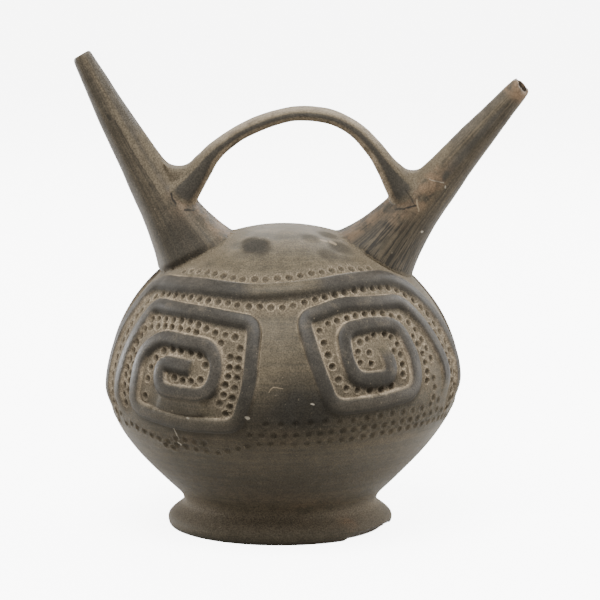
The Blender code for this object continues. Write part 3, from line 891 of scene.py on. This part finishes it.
inner_outline = [(0, inner_floor)]
for sweep in spaced(0, math.pi, math.pi / CAVITY_ROWS)[:-1]:
    level = inner_floor + (inner_top - inner_floor) * (1 - math.cos(sweep)) / 2
    inner_outline.append((inner_radius(level), level))
inner_outline.append((0, inner_top))
cavity = turn("cavity", inner_outline, CAVITY_SIDES)
for vert in cavity.data.vertices:
    vert.co.x -= lean(vert.co.z)
combine(cavity, bore("left bore", left), "UNION")
combine(cavity, bore("right bore", right), "UNION")
combine(vessel, handle, "UNION")
combine(vessel, cavity, "DIFFERENCE")
close_up(vessel)


def at_root(co):
    """Whether a point lies in the crease that the potter's finger smoothed at a spout's root."""
    radius = math.hypot(co.x, co.y)
    proud = radius - wall_radius(co.z) if co.z < DOME_LEVEL else 1.0
    for spout in (left, right):
        along, share, out, _ = spout.measure(co)
        near = abs(share - 1) * SPOUT_ROOT_RADIUS < 0.0032 and abs(along) < 0.013
        if near and -0.0012 < proud < 0.0034 and (spout is left or out < -0.006):
            return True
    return False


take_up(vessel, "DESELECT")
bpy.ops.mesh.select_mode(type="VERT")
bpy.ops.object.mode_set(mode="OBJECT")
for vert in vessel.data.vertices:
    vert.select = vert.co.z > 0.1 and at_root(vert.co)
bpy.ops.object.mode_set(mode="EDIT")
bpy.ops.mesh.vertices_smooth(factor=0.5, repeat=6)
bpy.ops.object.mode_set(mode="OBJECT")

# Wear and finish, with painted light and shade
# The clay was fired in smoke. Rubbed tops are dark slate, the cut ground is dull and dusty tan,
# soot clings low on the front, and the spouts keep the lengthwise marks of the brush. Painted
# shade darkens the bands' lower sides, the dots, the spouts' roots and the strap's flank.
SKIN = 0.0009
APEX_GAP = 0.0004
STRAP_SKIN = 0.0012
SPOUT_SKIN = 1.03
STRAP_GRAIN = 90
STRAP_GRAIN_START = 0.3
# Of these marks, the soot also paints shade, the pit paints shade inside the dots, the line also paints
# highlights and the dust also paints sheen
MARK_NAMES = ("slate", "line", "pit", "dust", "soot", "rust", "brush", "spout", "inside")
handle_tree = near_tree(handle_line)
handle_lengths = [0.0]
for before, after in zip(handle_line, handle_line[1:]):
    handle_lengths.append(handle_lengths[-1] + (after - before).length)

# Stains on the dome: degrees from the front, metres up, radius and strength
STAINS = [
    (-24.8, 0.1219, 0.0060, 0.95), (-34, 0.1230, 0.0036, 0.85), (-17.5, 0.1208, 0.0040, 0.85),
    (31, 0.1186, 0.0042, 0.55), (48, 0.1205, 0.0050, 0.60), (60, 0.1242, 0.0042, 0.55),
    (30, 0.1240, 0.0040, 0.45), (41, 0.1166, 0.0032, 0.35), (-47, 0.1148, 0.0032, 0.30),
    (8, 0.1250, 0.0060, 0.12), (160, 0.1225, 0.0050, 0.35), (215, 0.1200, 0.0040, 0.30),
]
# Soft patches: degrees from the front, metres up, half sizes and strength
# The rings low on the foot and belly darken the pot towards its base; the ring at the foot's lower edge is
# painted shade where the foot faces down
SOOT_PATCHES = [
    (5, 0.0615, 11, 0.0095, 0.9), (4, 0.0710, 8, 0.0100, 0.45), (-9, 0.0590, 7, 0.0110, 0.5),
    (-36, 0.0620, 17, 0.0060, 0.5), (-40, 0.0520, 24, 0.0060, 0.2), (24, 0.0570, 24, 0.0060, 0.45),
    (-60, 0.0580, 14, 0.0070, 0.2), (60, 0.0580, 16, 0.0070, 0.2), (0, 0.0490, 60, 0.0050, 0.12),
    (-20, 0.0850, 6, 0.0080, 0.15), (172, 0.0700, 30, 0.0200, 0.5), (-120, 0.0580, 25, 0.0100, 0.4),
    (120, 0.0600, 22, 0.0100, 0.35), (0, 0.0290, 400, 0.0130, 0.42), (0, 0.0240, 30, 0.0110, 0.16),
    (-12.6, 0.0690, 2.6, 0.0120, 0.5), (12.6, 0.0660, 4, 0.0090, 0.35), (31, 0.0725, 8, 0.0036, 0.8),
    (-34, 0.0690, 9, 0.0036, 0.25), (0, 0.0025, 400, 0.0040, 0.35),
    (-80, 0.0800, 8, 0.0220, 0.3), (80, 0.0800, 8, 0.0220, 0.3),
    (-10, 0.0050, 34, 0.0050, 0.15), (0, 0.0000, 400, 0.0014, 0.6),
]
# Of the dust patches, the one at the waist's left is a painted highlight and the ring round the foot's
# upper flank a painted sheen
DUST_PATCHES = [
    (-62, 0.0118, 14, 0.0040, 1.0), (0, 0.0085, 400, 0.0050, 0.8), (58, 0.0110, 18, 0.0050, 0.3),
]
RUST_PATCHES = [
    (40, 0.0068, 4.5, 0.0028, 1.0), (14, 0.0165, 22, 0.0035, 0.3), (-10, 0.0225, 26, 0.0040, 0.2),
    (0, 0.0500, 5, 0.0030, 0.3), (-30, 0.0470, 8, 0.0020, 0.2),
]


def window(value, low, high, soft):
    """1 between low and high, with soft ends."""
    return smooth_step((value - low) / soft + 0.5) * smooth_step((high - value) / soft + 0.5)


def patch_at(patches, degrees, level):
    total = 0.0
    for at, up, wide, high, strength in patches:
        round_off = (degrees - at + 180) % 360 - 180
        total += strength * math.exp(-((round_off / wide) ** 2 + ((level - up) / high) ** 2))
    return min(total, 1.0)


def at_least(marks, name, value):
    marks[name] = max(marks[name], value)


def notch_dust(co):
    """Dust that lies in the hollows between the strap and the spouts."""
    gaps = [math.hypot(co.x - x, co.z - z) - radius for x, z, radius in NOTCHES]
    return 0.95 * smooth_step((0.0135 - min(gaps)) / 0.008)


def strap_marks(marks, co, above, end, clear):
    """The strap: a pale dusty top with a painted highlight, a flank darkened as painted shade and a tan
    underside lightened with painted light.
    """
    height = above / (handle_thickness(end) / 2)
    broad = 0.24 * smooth_step((abs(end) - 0.45) / 0.4)
    # The flank facing the front is darkened with slate and soot colour as painted shade
    flank = window(height, -0.2 - 1.6 * broad, 0.32 + broad, 0.18) * smooth_step(clear / 0.0022)
    marks["slate"] = flank
    marks["soot"] = 0.6 * flank
    marks["dust"] = max(0.6 if height > 0 else 0.8, notch_dust(co)) * (1 - flank)
    # A painted highlight along the top of the arch, and painted light on the underside
    marks["line"] = 0.36 * smooth_step((height - 0.35) / 0.4) * smooth_step((0.75 - abs(end)) / 0.35)
    at_least(marks, "line", 0.85 * smooth_step((-0.25 - 1.6 * broad - height) / 0.25))
    marks["rust"] = 0.25 * smooth_step((-0.2 - height) / 0.4) * (1 - flank)


def spout_marks(marks, co, spout, along, out, across):
    """A spout: slate sides, a bare streak down the left one's front, brush marks on the right one."""
    half_out, _ = spout.radii(along)
    aside = out / half_out
    far = along / spout.length
    join = LEFT_JOIN_ALONG if spout is left else RIGHT_JOIN_ALONG
    low = smooth_step(1.3 - along / 0.024)
    front = smooth_step(0.5 - across / (0.4 * half_out))
    if spout is left:
        marks["slate"] = 0.7 * (1 - window(aside, -0.38, 0.58, 0.24)) * (1 - 0.4 * low)
        marks["dust"] = 0.85 * front * window(aside, -0.40, -0.05, 0.14) * window(far, 0.22, 0.76, 0.3)
        marks["soot"] = max(0.42 * window(aside, 0.0, 0.56, 0.24) * window(far, 0.1, 0.97, 0.1),
                            0.8 * low * window(aside, -0.42, 0.72, 0.4))
    else:
        core = front * math.exp(-((aside + 0.02) / 0.24) ** 2) * window(far, 0.43, 0.86, 0.2)
        marks["slate"] = max(core, 0.5 * smooth_step((-0.3 - aside) / 0.4))
        marks["soot"] = 0.5 * core
        marks["brush"] = 0.35 + 0.65 * smooth_step(1 - (along - 0.012) / 0.014)
        at_least(marks, "soot", 0.22 * low)
        marks["rust"] = 0.75 * window(aside, -0.7, 0.2, 0.4) * window(far, 0.27, 0.5, 0.16)
        at_least(marks, "rust", 0.9 * smooth_step((along - spout.length + 0.0085) / 0.004))
    notch = notch_dust(co) * smooth_step((-0.38 - aside) / 0.35)
    marks["slate"] *= 1 - notch
    marks["soot"] *= 1 - notch
    at_least(marks, "dust", notch)
    near_join = math.exp(-((along - join + 0.002) / 0.008) ** 2) * smooth_step((0.2 - aside) / 0.7)
    at_least(marks, "rust", (0.8 if spout is right else 0.45) * near_join)
    inner_edge = smooth_step((-0.6 - aside) / 0.3) * smooth_step(1 - (along - 0.014) / 0.01)
    at_least(marks, "rust", 0.7 * inner_edge)


def foot_on_wall(radius, level):
    """Level of the point of the bare wall that a carved point stands straight over."""
    base = level
    for _ in range(3):
        slope = wall_slope(base)
        base += (level - base + slope * (radius - wall_radius(base))) / (1 + slope ** 2)
    return base


def body_marks(marks, azimuth, base, level, measures):
    """The body: slate bands, pale dust lines along their edges kept mainly to the upper side as a painted
    highlight, painted shade under the bands and inside the dots, dusty ground.
    """
    on_body = on_wall(azimuth, min(max(base, STRIP_LOW), DOME_LEVEL - APEX_GAP))
    degrees = math.degrees(azimuth)
    shade = 0.0
    if STRIP_LOW < base < STRIP_HIGH:
        share, middle, fullness = nearest_band(on_body)
        low = lowness(on_body, middle)
        _, k, distance = dot_tree.find(on_body)
        dot = dots[k]
        ground = dot.dust * smooth_step((0.0068 - distance) / 0.0035)
        dull = 0.5 * smooth_step((0.078 - level) / 0.022)
        # Less slate on the frame band's middle top, where it is lightened as a painted sheen
        middle_top = smooth_step((level - 0.098) / 0.007) * smooth_step((26 - abs(degrees)) / 16)
        dull = max(dull, 0.68 * middle_top)
        # The slate runs further down a band's lower side, as painted shade there
        marks["slate"] = (1 - dull) * fullness * smooth_step((1.0 + 0.22 * low - share) / 0.18)
        # Painted shade darkens the inside of each dot
        in_pit = smooth_step((dot.radius - distance) / (dot.radius * 0.5))
        marks["pit"] = in_pit * min(dot.depth / DOT_DEPTH, 1)
        rim = dot.on_rim(distance) * dot.dust * dot.rim / DOT_RIM
        # Pale lines along the bands' edges, kept mainly to their upper sides: partly dust, partly a painted
        # highlight
        line = 0.0
        for share_here, middle_here, full_here in (band.share_across(on_body) for band in bands):
            upper = full_here * (1 - 0.9 * lowness(on_body, middle_here))
            line = max(line, upper * math.exp(-((share_here - 1.03) / 0.15) ** 2))
        rim *= 0.8 * (1 - marks["slate"])
        line *= 0.3 + 0.7 * ground
        marks["line"] = max(rim, line) * (1 - marks["pit"])
        marks["dust"] = ground * (1 - marks["slate"])
        # Painted shade: the lower slope of each band and the ground just under it are darkened
        shade = 0.8 * low * fullness * window(share, 0.5, 1.5, 0.7)
    marks["soot"] = max(shade, patch_at(SOOT_PATCHES, degrees, level))
    marks["rust"] = patch_at(RUST_PATCHES, degrees, level)
    at_least(marks, "dust", patch_at(DUST_PATCHES, degrees, level))
    if level > 0.11:
        for at, up, reach, strength in STAINS:
            gap = (on_body - on_wall(math.radians(at), up)).length
            at_least(marks, "soot", strength * smooth_step((reach - gap) / 0.0034 + 0.5))
    if level > 0.1:
        gaps = [abs(share - 1) * SPOUT_ROOT_RADIUS * 1.4 for along, share, _, _ in measures if along < 0.02]
        if gaps:
            at_least(marks, "dust", 0.75 * smooth_step(1 - min(gaps) / 0.0075))


def in_hollow(radius, level):
    """Whether a point lies on the cavity's wall."""
    inside = radius < inner_radius(min(level, inner_top)) + SKIN
    return inside and inner_floor - SKIN < level < inner_top + SKIN


def marks_at(co):
    """The finish at a point of the vessel, and its place along the grain of its spout or strap."""
    marks = dict.fromkeys(MARK_NAMES, 0.0)
    level = co.z
    leaned = co.x + lean(level)
    radius = math.hypot(leaned, co.y)
    azimuth = math.atan2(leaned, -co.y)
    if in_hollow(radius, level):
        marks["inside"] = 1.0
        return marks, Vector((0, 0, 0))
    wall = wall_radius(level) if level < DOME_LEVEL else 0.0
    measures = [spout.measure(co) for spout in (left, right)]
    base = foot_on_wall(radius, level) if STRIP_LOW < level < STRIP_HIGH + BAND_HEIGHT else level
    bare = on_wall(azimuth, min(max(base, 0.001), DOME_LEVEL - APEX_GAP))
    lift = (Vector((leaned, co.y, level)) - bare).length * (1 if radius > wall else -1)
    clear_of_spouts = min(share for _, share, _, _ in measures) > 1.07
    on_band = level < STRIP_HIGH and lift < BAND_HEIGHT * 1.2 and clear_of_spouts
    if level < 0.1 or (level < DOME_LEVEL + APEX_GAP and (lift < 0.0007 or on_band)):
        body_marks(marks, azimuth, base, level, measures)
        return marks, Vector((0, 0, 0))

    marks["spout"] = 1.0
    spout, (along, share, out, across) = min(zip((left, right), measures), key=lambda pair: pair[1][1])
    half_out, half_across = spout.radii(along)
    nearest, i, _ = handle_tree.find(co)
    above, end = (co - nearest).dot(handle_out(i)), handle_end(i)
    on_strap = abs(above) < handle_thickness(end) / 2 + STRAP_SKIN and share > SPOUT_SKIN
    in_channel = math.hypot(out, across) < spout.channel(along) + 0.0003
    if share < 1.3 and in_channel and along < spout.length - MOUTH_ROUND:
        marks["inside"] = 1.0
    elif on_strap or share > 1.6:
        strap_marks(marks, co, above, end, (share - SPOUT_SKIN) * half_out)
        grain = Vector((handle_lengths[i] + STRAP_GRAIN_START, above * STRAP_GRAIN, co.y * STRAP_GRAIN))
        return marks, grain
    else:
        spout_marks(marks, co, spout, along, out, across)
        # Painted shade in the crease where each spout meets the dome, strongest on the right one
        crack = 0.95 if spout is right and out > -0.010 else 0.4
        at_least(marks, "soot", crack * smooth_step(1.3 - abs(lift) / 0.0012))
    return marks, Vector((along, out / half_out, across / half_across))


grains = []
all_marks = {name: [] for name in MARK_NAMES}
for vert in vessel.data.vertices:
    marks, grain = marks_at(vert.co)
    grains.extend(grain)
    for name in MARK_NAMES:
        all_marks[name].append(marks[name])
for name in MARK_NAMES:
    attribute = vessel.data.attributes.new(name, "FLOAT", "POINT")
    attribute.data.foreach_set("value", all_marks[name])
attribute = vessel.data.attributes.new("grain", "FLOAT_VECTOR", "POINT")
attribute.data.foreach_set("vector", grains)


class Bench:
    """Places nodes in a shader tree and joins their sockets."""

    def __init__(self, tree):
        self.tree = tree

    def put(self, kind, sockets=None, **settings):
        made = self.tree.nodes.new(kind)
        for key, value in settings.items():
            setattr(made, key, value)
        for key, value in (sockets or {}).items():
            if isinstance(value, bpy.types.NodeSocket):
                self.join(value, made, key)
            else:
                made.inputs[key].default_value = value
        return made

    def join(self, socket, node, name):
        self.tree.links.new(socket, node.inputs[name])

    def maths(self, operation, *values, clamp=False):
        made = self.put("ShaderNodeMath", dict(enumerate(values)), operation=operation, use_clamp=clamp)
        return made.outputs[0]

    def times(self, first, second):
        return self.maths("MULTIPLY", first, second)

    def added(self, start, *parts):
        """The start plus every part times its weight."""
        for part, weight in parts:
            start = self.maths("MULTIPLY_ADD", part, weight, start)
        return start

    def vector(self, operation, *values):
        made = self.put("ShaderNodeVectorMath", dict(enumerate(values)), operation=operation)
        return made.outputs["Value" if operation in ("DOT_PRODUCT", "DISTANCE") else "Vector"]

    def ramp(self, value, low, high, bottom=0.0, top=1.0):
        """Bottom at low, top at high, with a soft run between."""
        made = self.put("ShaderNodeMapRange", {"Value": value, "From Min": low, "From Max": high,
                                               "To Min": bottom, "To Max": top},
                        interpolation_type="SMOOTHSTEP")
        return made.outputs[0]

    def blend(self, share, first, second, way="MIX"):
        made = self.put("ShaderNodeMix", {0: share, 6: first, 7: second}, data_type="RGBA", blend_type=way)
        return made.outputs[2]

    def coats(self, colour, *layers):
        """The colour with each layer laid over it: its share, then its own colour."""
        for share, layer in layers:
            colour = self.blend(share, colour, layer)
        return colour

    def noise(self, place, scale, detail=3.0, rough=0.55):
        made = self.put("ShaderNodeTexNoise", {"Vector": place, "Scale": scale, "Detail": detail,
                                               "Roughness": rough})
        return made.outputs[0]

    def scaled(self, place, scale):
        return self.put("ShaderNodeMapping", {"Vector": place, "Scale": scale}).outputs[0]

    def read(self, name):
        made = self.put("ShaderNodeAttribute", attribute_name=name)
        return made.outputs["Vector" if name == "grain" else "Fac"]


def new_group(name, takes, gives):
    """An empty group of nodes with the sockets it takes and gives, each by its kind."""
    tree = bpy.data.node_groups.new(name, "ShaderNodeTree")
    for way, sockets in (("INPUT", takes), ("OUTPUT", gives)):
        for kind, names in sockets:
            for socket in names:
                tree.interface.new_socket(socket, in_out=way, socket_type="NodeSocket" + kind)
    return tree


def stroke_group():
    """A stroke on the clay, from one place to another, as a mask with soft edges."""
    takes = (("Vector", ("Place", "From", "To")), ("Float", ("Width", "Softness")))
    tree = new_group("stroke on clay", takes, (("Float", ("Mask",)),))
    bench = Bench(tree)
    given = bench.put("NodeGroupInput").outputs
    run = bench.vector("SUBTRACT", given["To"], given["From"])
    reach = bench.vector("SUBTRACT", given["Place"], given["From"])
    along = bench.vector("DOT_PRODUCT", reach, run)
    square = bench.vector("DOT_PRODUCT", run, run)
    share = bench.maths("DIVIDE", along, bench.maths("ADD", square, 1e-12), clamp=True)
    on_line = bench.put("ShaderNodeVectorMath", {0: run, "Scale": share}, operation="SCALE").outputs[0]
    distance = bench.vector("DISTANCE", reach, on_line)
    inside = bench.maths("SUBTRACT", given["Width"], distance)
    mask = bench.maths("ADD", bench.maths("DIVIDE", inside, given["Softness"]), 0.5, clamp=True)
    bench.put("NodeGroupOutput", {"Mask": mask})
    return tree


# Colours: the plain body and its streaks, the spouts and the strap, the cut ground, the slate
# of rubbed tops, and then each mark; the soot colour also paints shade, the pit colour paints
# shade inside the dots and the line colour also paints highlights
BODY = (0.083, 0.068, 0.045, 1)
BODY_DARK = (0.062, 0.052, 0.034, 1)
BODY_STREAK = (0.110, 0.087, 0.055, 1)
ROD = (0.056, 0.046, 0.032, 1)
ROD_STREAK = (0.098, 0.078, 0.051, 1)
ROD_DASH = (0.020, 0.017, 0.013, 1)
GROUND = (0.130, 0.105, 0.071, 1)
GROUND_DARK = (0.084, 0.069, 0.047, 1)
SLATE = (0.037, 0.033, 0.027, 1)
SLATE_LIGHT = (0.055, 0.048, 0.039, 1)
SLATE_WORN = (0.098, 0.079, 0.054, 1)
SLATE_SPOUT = (0.098, 0.084, 0.064, 1)
LINE = (0.320, 0.257, 0.180, 1)
RUST = (0.150, 0.100, 0.060, 1)
SOOT = (0.028, 0.025, 0.020, 1)
PIT = (0.036, 0.030, 0.022, 1)
SPECK = (0.24, 0.20, 0.14, 1)
HOLLOW = (0.030, 0.022, 0.015, 1)


def clay_group():
    """Fired clay with its burnish: colour, roughness and height from grain, strokes, wear and painted light
    and shade.
    """
    takes = (("Float", [name.title() for name in MARK_NAMES]), ("Vector", ("Place", "Grain")))
    tree = new_group("burnished clay", takes, (("Color", ("Color",)), ("Float", ("Roughness", "Height"))))
    bench = Bench(tree)
    given = bench.put("NodeGroupInput").outputs
    place, grain = given["Place"], given["Grain"]

    broad = bench.noise(place, 32, 3)
    middling = bench.noise(place, 210, 4, 0.6)
    fine = bench.noise(place, 1700, 4, 0.6)
    round_strokes = bench.noise(bench.scaled(place, (16, 16, 560)), 1, 5, 0.65)
    long_strokes = bench.noise(bench.scaled(grain, (22, 8, 8)), 1, 4, 0.6)
    strokes = bench.put("ShaderNodeMix", {0: given["Spout"], 2: round_strokes, 3: long_strokes},
                        data_type="FLOAT").outputs[0]
    streaks = bench.ramp(strokes, 0.38, 0.64)
    dashes = bench.ramp(bench.noise(bench.scaled(grain, (90, 20, 20)), 1, 2, 0.5), 0.47, 0.60)

    def wavering(mark, amount):
        """A mark whose edge is broken up by the clay's grain."""
        loose = bench.maths("MULTIPLY_ADD", bench.maths("SUBTRACT", middling, 0.5), amount, mark)
        return bench.times(bench.ramp(loose, 0.12, 0.88), bench.ramp(mark, 0.0, 0.08))

    body = bench.coats(BODY, (bench.ramp(broad, 0.35, 0.65), BODY_DARK),
                       (bench.times(streaks, 0.7), BODY_STREAK))
    rod = bench.coats(ROD, (streaks, ROD_STREAK), (bench.times(dashes, given["Brush"]), ROD_DASH))
    ground = bench.blend(bench.ramp(middling, 0.35, 0.68), GROUND, GROUND_DARK)
    slate = bench.coats(SLATE, (bench.ramp(broad, 0.3, 0.7), SLATE_LIGHT),
                        (bench.ramp(middling, 0.52, 0.72, 0.0, 0.3), SLATE_WORN),
                        (bench.times(given["Spout"], 0.45), SLATE_SPOUT))
    colour = bench.coats(body, (given["Spout"], rod),
                         (wavering(given["Dust"], 0.55), ground),
                         (wavering(given["Slate"], 0.3), slate),
                         (bench.times(given["Line"], bench.ramp(middling, 0.2, 0.55)), LINE),
                         (bench.times(given["Rust"], bench.ramp(middling, 0.36, 0.6)), RUST),
                         (bench.times(given["Soot"], bench.ramp(middling, 0.1, 0.6, 0.7, 1.0)), SOOT),
                         (bench.times(given["Pit"], 0.5), PIT))
    grainy = bench.added(0.40, (given["Dust"], 0.06), (given["Slate"], -0.06), (given["Brush"], -0.24))
    grainy = bench.maths("MULTIPLY_ADD", bench.ramp(fine, 0.3, 0.7, -1.0, 1.0), grainy, 1.0)
    colour = bench.blend(1.0, colour, grainy, "MULTIPLY")
    colour = bench.blend(1.0, colour, bench.ramp(middling, 0.30, 0.70, 0.82, 1.14), "MULTIPLY")
    specks = bench.ramp(bench.noise(place, 800, 2, 0.4), 0.71, 0.77)
    colour = bench.blend(bench.times(specks, 0.35), colour, SPECK)
    colour = bench.blend(given["Inside"], colour, HOLLOW)

    rough = bench.added(0.52, (given["Dust"], 0.25), (given["Slate"], -0.06), (given["Line"], 0.2),
                        (given["Soot"], 0.4))
    rough = bench.maths("MULTIPLY_ADD", bench.maths("SUBTRACT", fine, 0.5), 0.5, rough, clamp=True)
    height = bench.added(bench.times(strokes, 0.4), (fine, 0.22), (middling, 0.35))
    bench.put("NodeGroupOutput", {"Color": colour, "Roughness": rough, "Height": height})
    return tree


# Strokes on the front: where they are measured, from, to, half width, strength and colour. First
# the pot's specks and scratches, then those on the spouts and the cracks round the strap
FLATTEN = Vector((1, 0.4, 1))
SHAKE = 0.0012
STROKE_EDGE = 0.0004
PALE = (0.40, 0.36, 0.29, 1)
DARK = (0.016, 0.014, 0.011, 1)
TAN = (0.30, 0.235, 0.155, 1)


def at_body(degrees, level):
    point = on_wall(math.radians(degrees), level)
    point.x -= lean(level)
    return point


def at_spout(spout, along, aside):
    half_out, half_across = spout.radii(along)
    front = -half_across * math.sqrt(1 - aside ** 2)
    return spout.middle(along) + spout.outward * aside * half_out + spout.across * front


def at_left(along, aside):
    return at_spout(left, along, aside)


def at_right(along, aside):
    return at_spout(right, along, aside)


def at_front(x, z):
    """The foremost point of the clay at a place of the front view."""
    near = [vert.co.y for vert in vessel.data.vertices if math.hypot(vert.co.x - x, vert.co.z - z) < 0.0013]
    return Vector((x, min(near), z))


STROKES = [
    (at_body, 38.0, 0.1234, 43.0, 0.1228, 0.0004, 0.50, TAN),
    (at_body, 46.0, 0.1226, 47.5, 0.1218, 0.0006, 0.55, TAN),
    (at_body, -11.5, 0.0592, -10.6, 0.0582, 0.0006, 1.0, PALE),
    (at_body, -31.3, 0.0567, -30.6, 0.0566, 0.0004, 0.8, PALE),
    (at_body, 8.8, 0.0642, 9.6, 0.0640, 0.0003, 0.9, PALE),
    (at_body, -37.2, 0.0517, -36.4, 0.0462, 0.0002, 0.9, PALE),
    (at_body, -37.0, 0.0448, -36.2, 0.0444, 0.0005, 0.9, PALE),
    (at_body, -4.6, 0.0690, -3.2, 0.0712, 0.0001, 0.8, TAN),
    (at_body, -3.2, 0.0712, -0.2, 0.0706, 0.0001, 0.8, TAN),
    (at_right, 0.0382, -0.44, 0.0408, 0.12, 0.0001, 0.7, PALE),
    (at_right, 0.0404, 0.28, 0.0398, 0.34, 0.00025, 1.0, PALE),
    (at_right, 0.0190, 0.62, 0.0194, 0.63, 0.0004, 1.0, PALE),
    (at_left, 0.0627, 0.02, 0.0470, 0.00, 0.00020, 1.0, DARK),
    (at_left, 0.0470, 0.00, 0.0260, -0.10, 0.00016, 0.7, DARK),
    (at_left, 0.0660, 0.25, 0.0640, 0.22, 0.0006, 0.7, DARK),
    (at_front, -0.0469, 0.1412, -0.0462, 0.1388, 0.00045, 0.95, DARK),
    (at_front, -0.0462, 0.1388, -0.0448, 0.1372, 0.00045, 0.95, DARK),
    (at_front, -0.0412, 0.1348, -0.0374, 0.1343, 0.00045, 0.95, DARK),
    (at_front, 0.0463, 0.1350, 0.0500, 0.1354, 0.00040, 1.0, DARK),
    (at_front, 0.0500, 0.1354, 0.0545, 0.1368, 0.00040, 1.0, DARK),
    (at_front, 0.0505, 0.1428, 0.0545, 0.1368, 0.00025, 0.8, DARK),
    (at_front, 0.0558, 0.1345, 0.0550, 0.1392, 0.00025, 0.7, TAN),
    (at_front, 0.0462, 0.1398, 0.0510, 0.1384, 0.0022, 0.35, DARK),
]


def make_clay():
    material = bpy.data.materials.new("burnished clay")
    material.use_nodes = True
    bench = Bench(material.node_tree)
    shader = bench.tree.nodes["Principled BSDF"]
    shader.inputs["IOR"].default_value = 1.4
    shader.inputs["Specular IOR Level"].default_value = 0.19
    place = bench.put("ShaderNodeTexCoord").outputs["Object"]
    clay = bench.put("ShaderNodeGroup", node_tree=clay_group())
    for name in MARK_NAMES:
        bench.join(bench.read(name), clay, name.title())
    bench.join(bench.read("grain"), clay, "Grain")
    bench.join(place, clay, "Place")
    colour = clay.outputs["Color"]
    strokes = stroke_group()
    shake = bench.put("ShaderNodeTexNoise", {"Vector": place, "Scale": 400.0}).outputs["Color"]
    flattened = bench.scaled(bench.vector("MULTIPLY_ADD", shake, (SHAKE,) * 3, place), FLATTEN)
    for spot, x1, y1, x2, y2, width, strength, paint in STROKES:
        start, end = ((point + POT_AXIS + Vector((SHAKE / 2,) * 3)) * FLATTEN
                      for point in (spot(x1, y1), spot(x2, y2)))
        sockets = {"Place": flattened, "From": start, "To": end, "Width": width,
                   "Softness": max(width * 0.5, STROKE_EDGE)}
        mask = bench.put("ShaderNodeGroup", sockets, node_tree=strokes).outputs["Mask"]
        colour = bench.blend(bench.times(mask, strength), colour, paint)
    bench.join(colour, shader, "Base Color")
    bench.join(clay.outputs["Roughness"], shader, "Roughness")
    relief = {"Height": clay.outputs["Height"], "Strength": 0.6, "Distance": 0.0005}
    bench.join(bench.put("ShaderNodeBump", relief).outputs[0], shader, "Normal")
    return material


vessel.data.materials.clear()
vessel.data.materials.append(make_clay())
vessel.data.transform(Matrix.Translation(POT_AXIS))
vessel.data.update()
only(vessel)
bpy.ops.object.shade_smooth_by_angle(angle=math.radians(55))
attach(vessel, "root")
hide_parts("vessel")

# The studio
# A pale floor that also glows in the pot's reflections though it is no lamp, a large soft light
# overhead and in front, smaller ones at the sides and behind, and a long lens.
FLOOR_SIZE = 14
SENSOR_WIDTH = 36
CAMERA_DISTANCE = 1.5
CAMERA_ELEVATION = math.radians(8.95)
CAMERA_TARGET = Vector((-0.00014, 0, 0.0951))
LENS = 214.2
PAPER_SEEN = (0.90, 0.90, 0.90, 1)
PAPER_BOUNCE = (0.26, 0.255, 0.245, 1)
PAPER_GLOW = 7.0
PAPER_SHEEN = 2.2
ROOM_LIGHT = 0.46
ROOM_SHEEN = 1.0

bpy.ops.mesh.primitive_plane_add(size=FLOOR_SIZE, location=(0, 0, 0))
floor = bpy.context.object
floor.name = "studio_floor"
paper = bpy.data.materials.new("pale paper")
paper.use_nodes = True
paper_bench = Bench(paper.node_tree)
paper_shader = paper.node_tree.nodes["Principled BSDF"]
paper_shader.inputs["Roughness"].default_value = 0.9
paper_shader.inputs["Emission Color"].default_value = (1, 1, 1, 1)
ways = paper_bench.put("ShaderNodeLightPath").outputs
seen = ways["Is Camera Ray"]
paper_bench.join(paper_bench.blend(seen, PAPER_BOUNCE, PAPER_SEEN), paper_shader, "Base Color")
# The floor also glows in the pot's reflections though it is no lamp
glow = paper_bench.added(paper_bench.times(seen, PAPER_GLOW), (ways["Is Glossy Ray"], PAPER_SHEEN))
paper_bench.join(glow, paper_shader, "Emission Strength")
floor.data.materials.append(paper)

world = bpy.data.worlds.new("studio")
bpy.context.scene.world = world
world.use_nodes = True
sky = world.node_tree.nodes["Background"]
sky.inputs["Color"].default_value = (1, 0.98, 0.94, 1)
world_bench = Bench(world.node_tree)
mirrored = world_bench.put("ShaderNodeLightPath").outputs["Is Glossy Ray"]
room = world_bench.added(ROOM_LIGHT, (mirrored, ROOM_SHEEN - ROOM_LIGHT))
world_bench.join(room, sky, "Strength")


def set_up(name, data, place, aim):
    """A lamp or a camera at its place, turned to its aim."""
    made = new_object(name, data)
    made.location = place
    made.rotation_euler = (Vector(aim) - Vector(place)).to_track_quat("-Z", "Y").to_euler()
    return made


def soft_light(name, place, aim, size, power):
    light = bpy.data.lights.new(name, "AREA")
    light.shape = "RECTANGLE"
    light.size, light.size_y = size
    light.energy = power
    set_up(name, light, place, aim)


soft_light("overhead", (-0.10, -0.50, 1.20), (0, 0, 0.08), (0.8, 0.7), 31)
soft_light("behind", (0.15, 1.20, 0.90), (0, 0, 0.12), (1.2, 0.5), 14)
soft_light("left side", (-1.10, 0.05, 0.30), (0, 0, 0.06), (0.5, 0.6), 4)
soft_light("right side", (1.05, 0.10, 0.20), (0, 0, 0.05), (0.5, 0.4), 9)
soft_light("left behind", (-1.00, 0.65, 0.17), (0, 0, 0.02), (0.4, 0.25), 12)
soft_light("right behind", (0.80, 0.60, 0.62), (0.04, 0, 0.09), (0.5, 0.5), 7)

camera_data = bpy.data.cameras.new("camera")
camera_data.sensor_width = SENSOR_WIDTH
camera_data.lens = LENS
away = Vector((0, -math.cos(CAMERA_ELEVATION), math.sin(CAMERA_ELEVATION)))
camera_place = CAMERA_TARGET + CAMERA_DISTANCE * away
bpy.context.scene.camera = set_up("camera", camera_data, camera_place, CAMERA_TARGET)
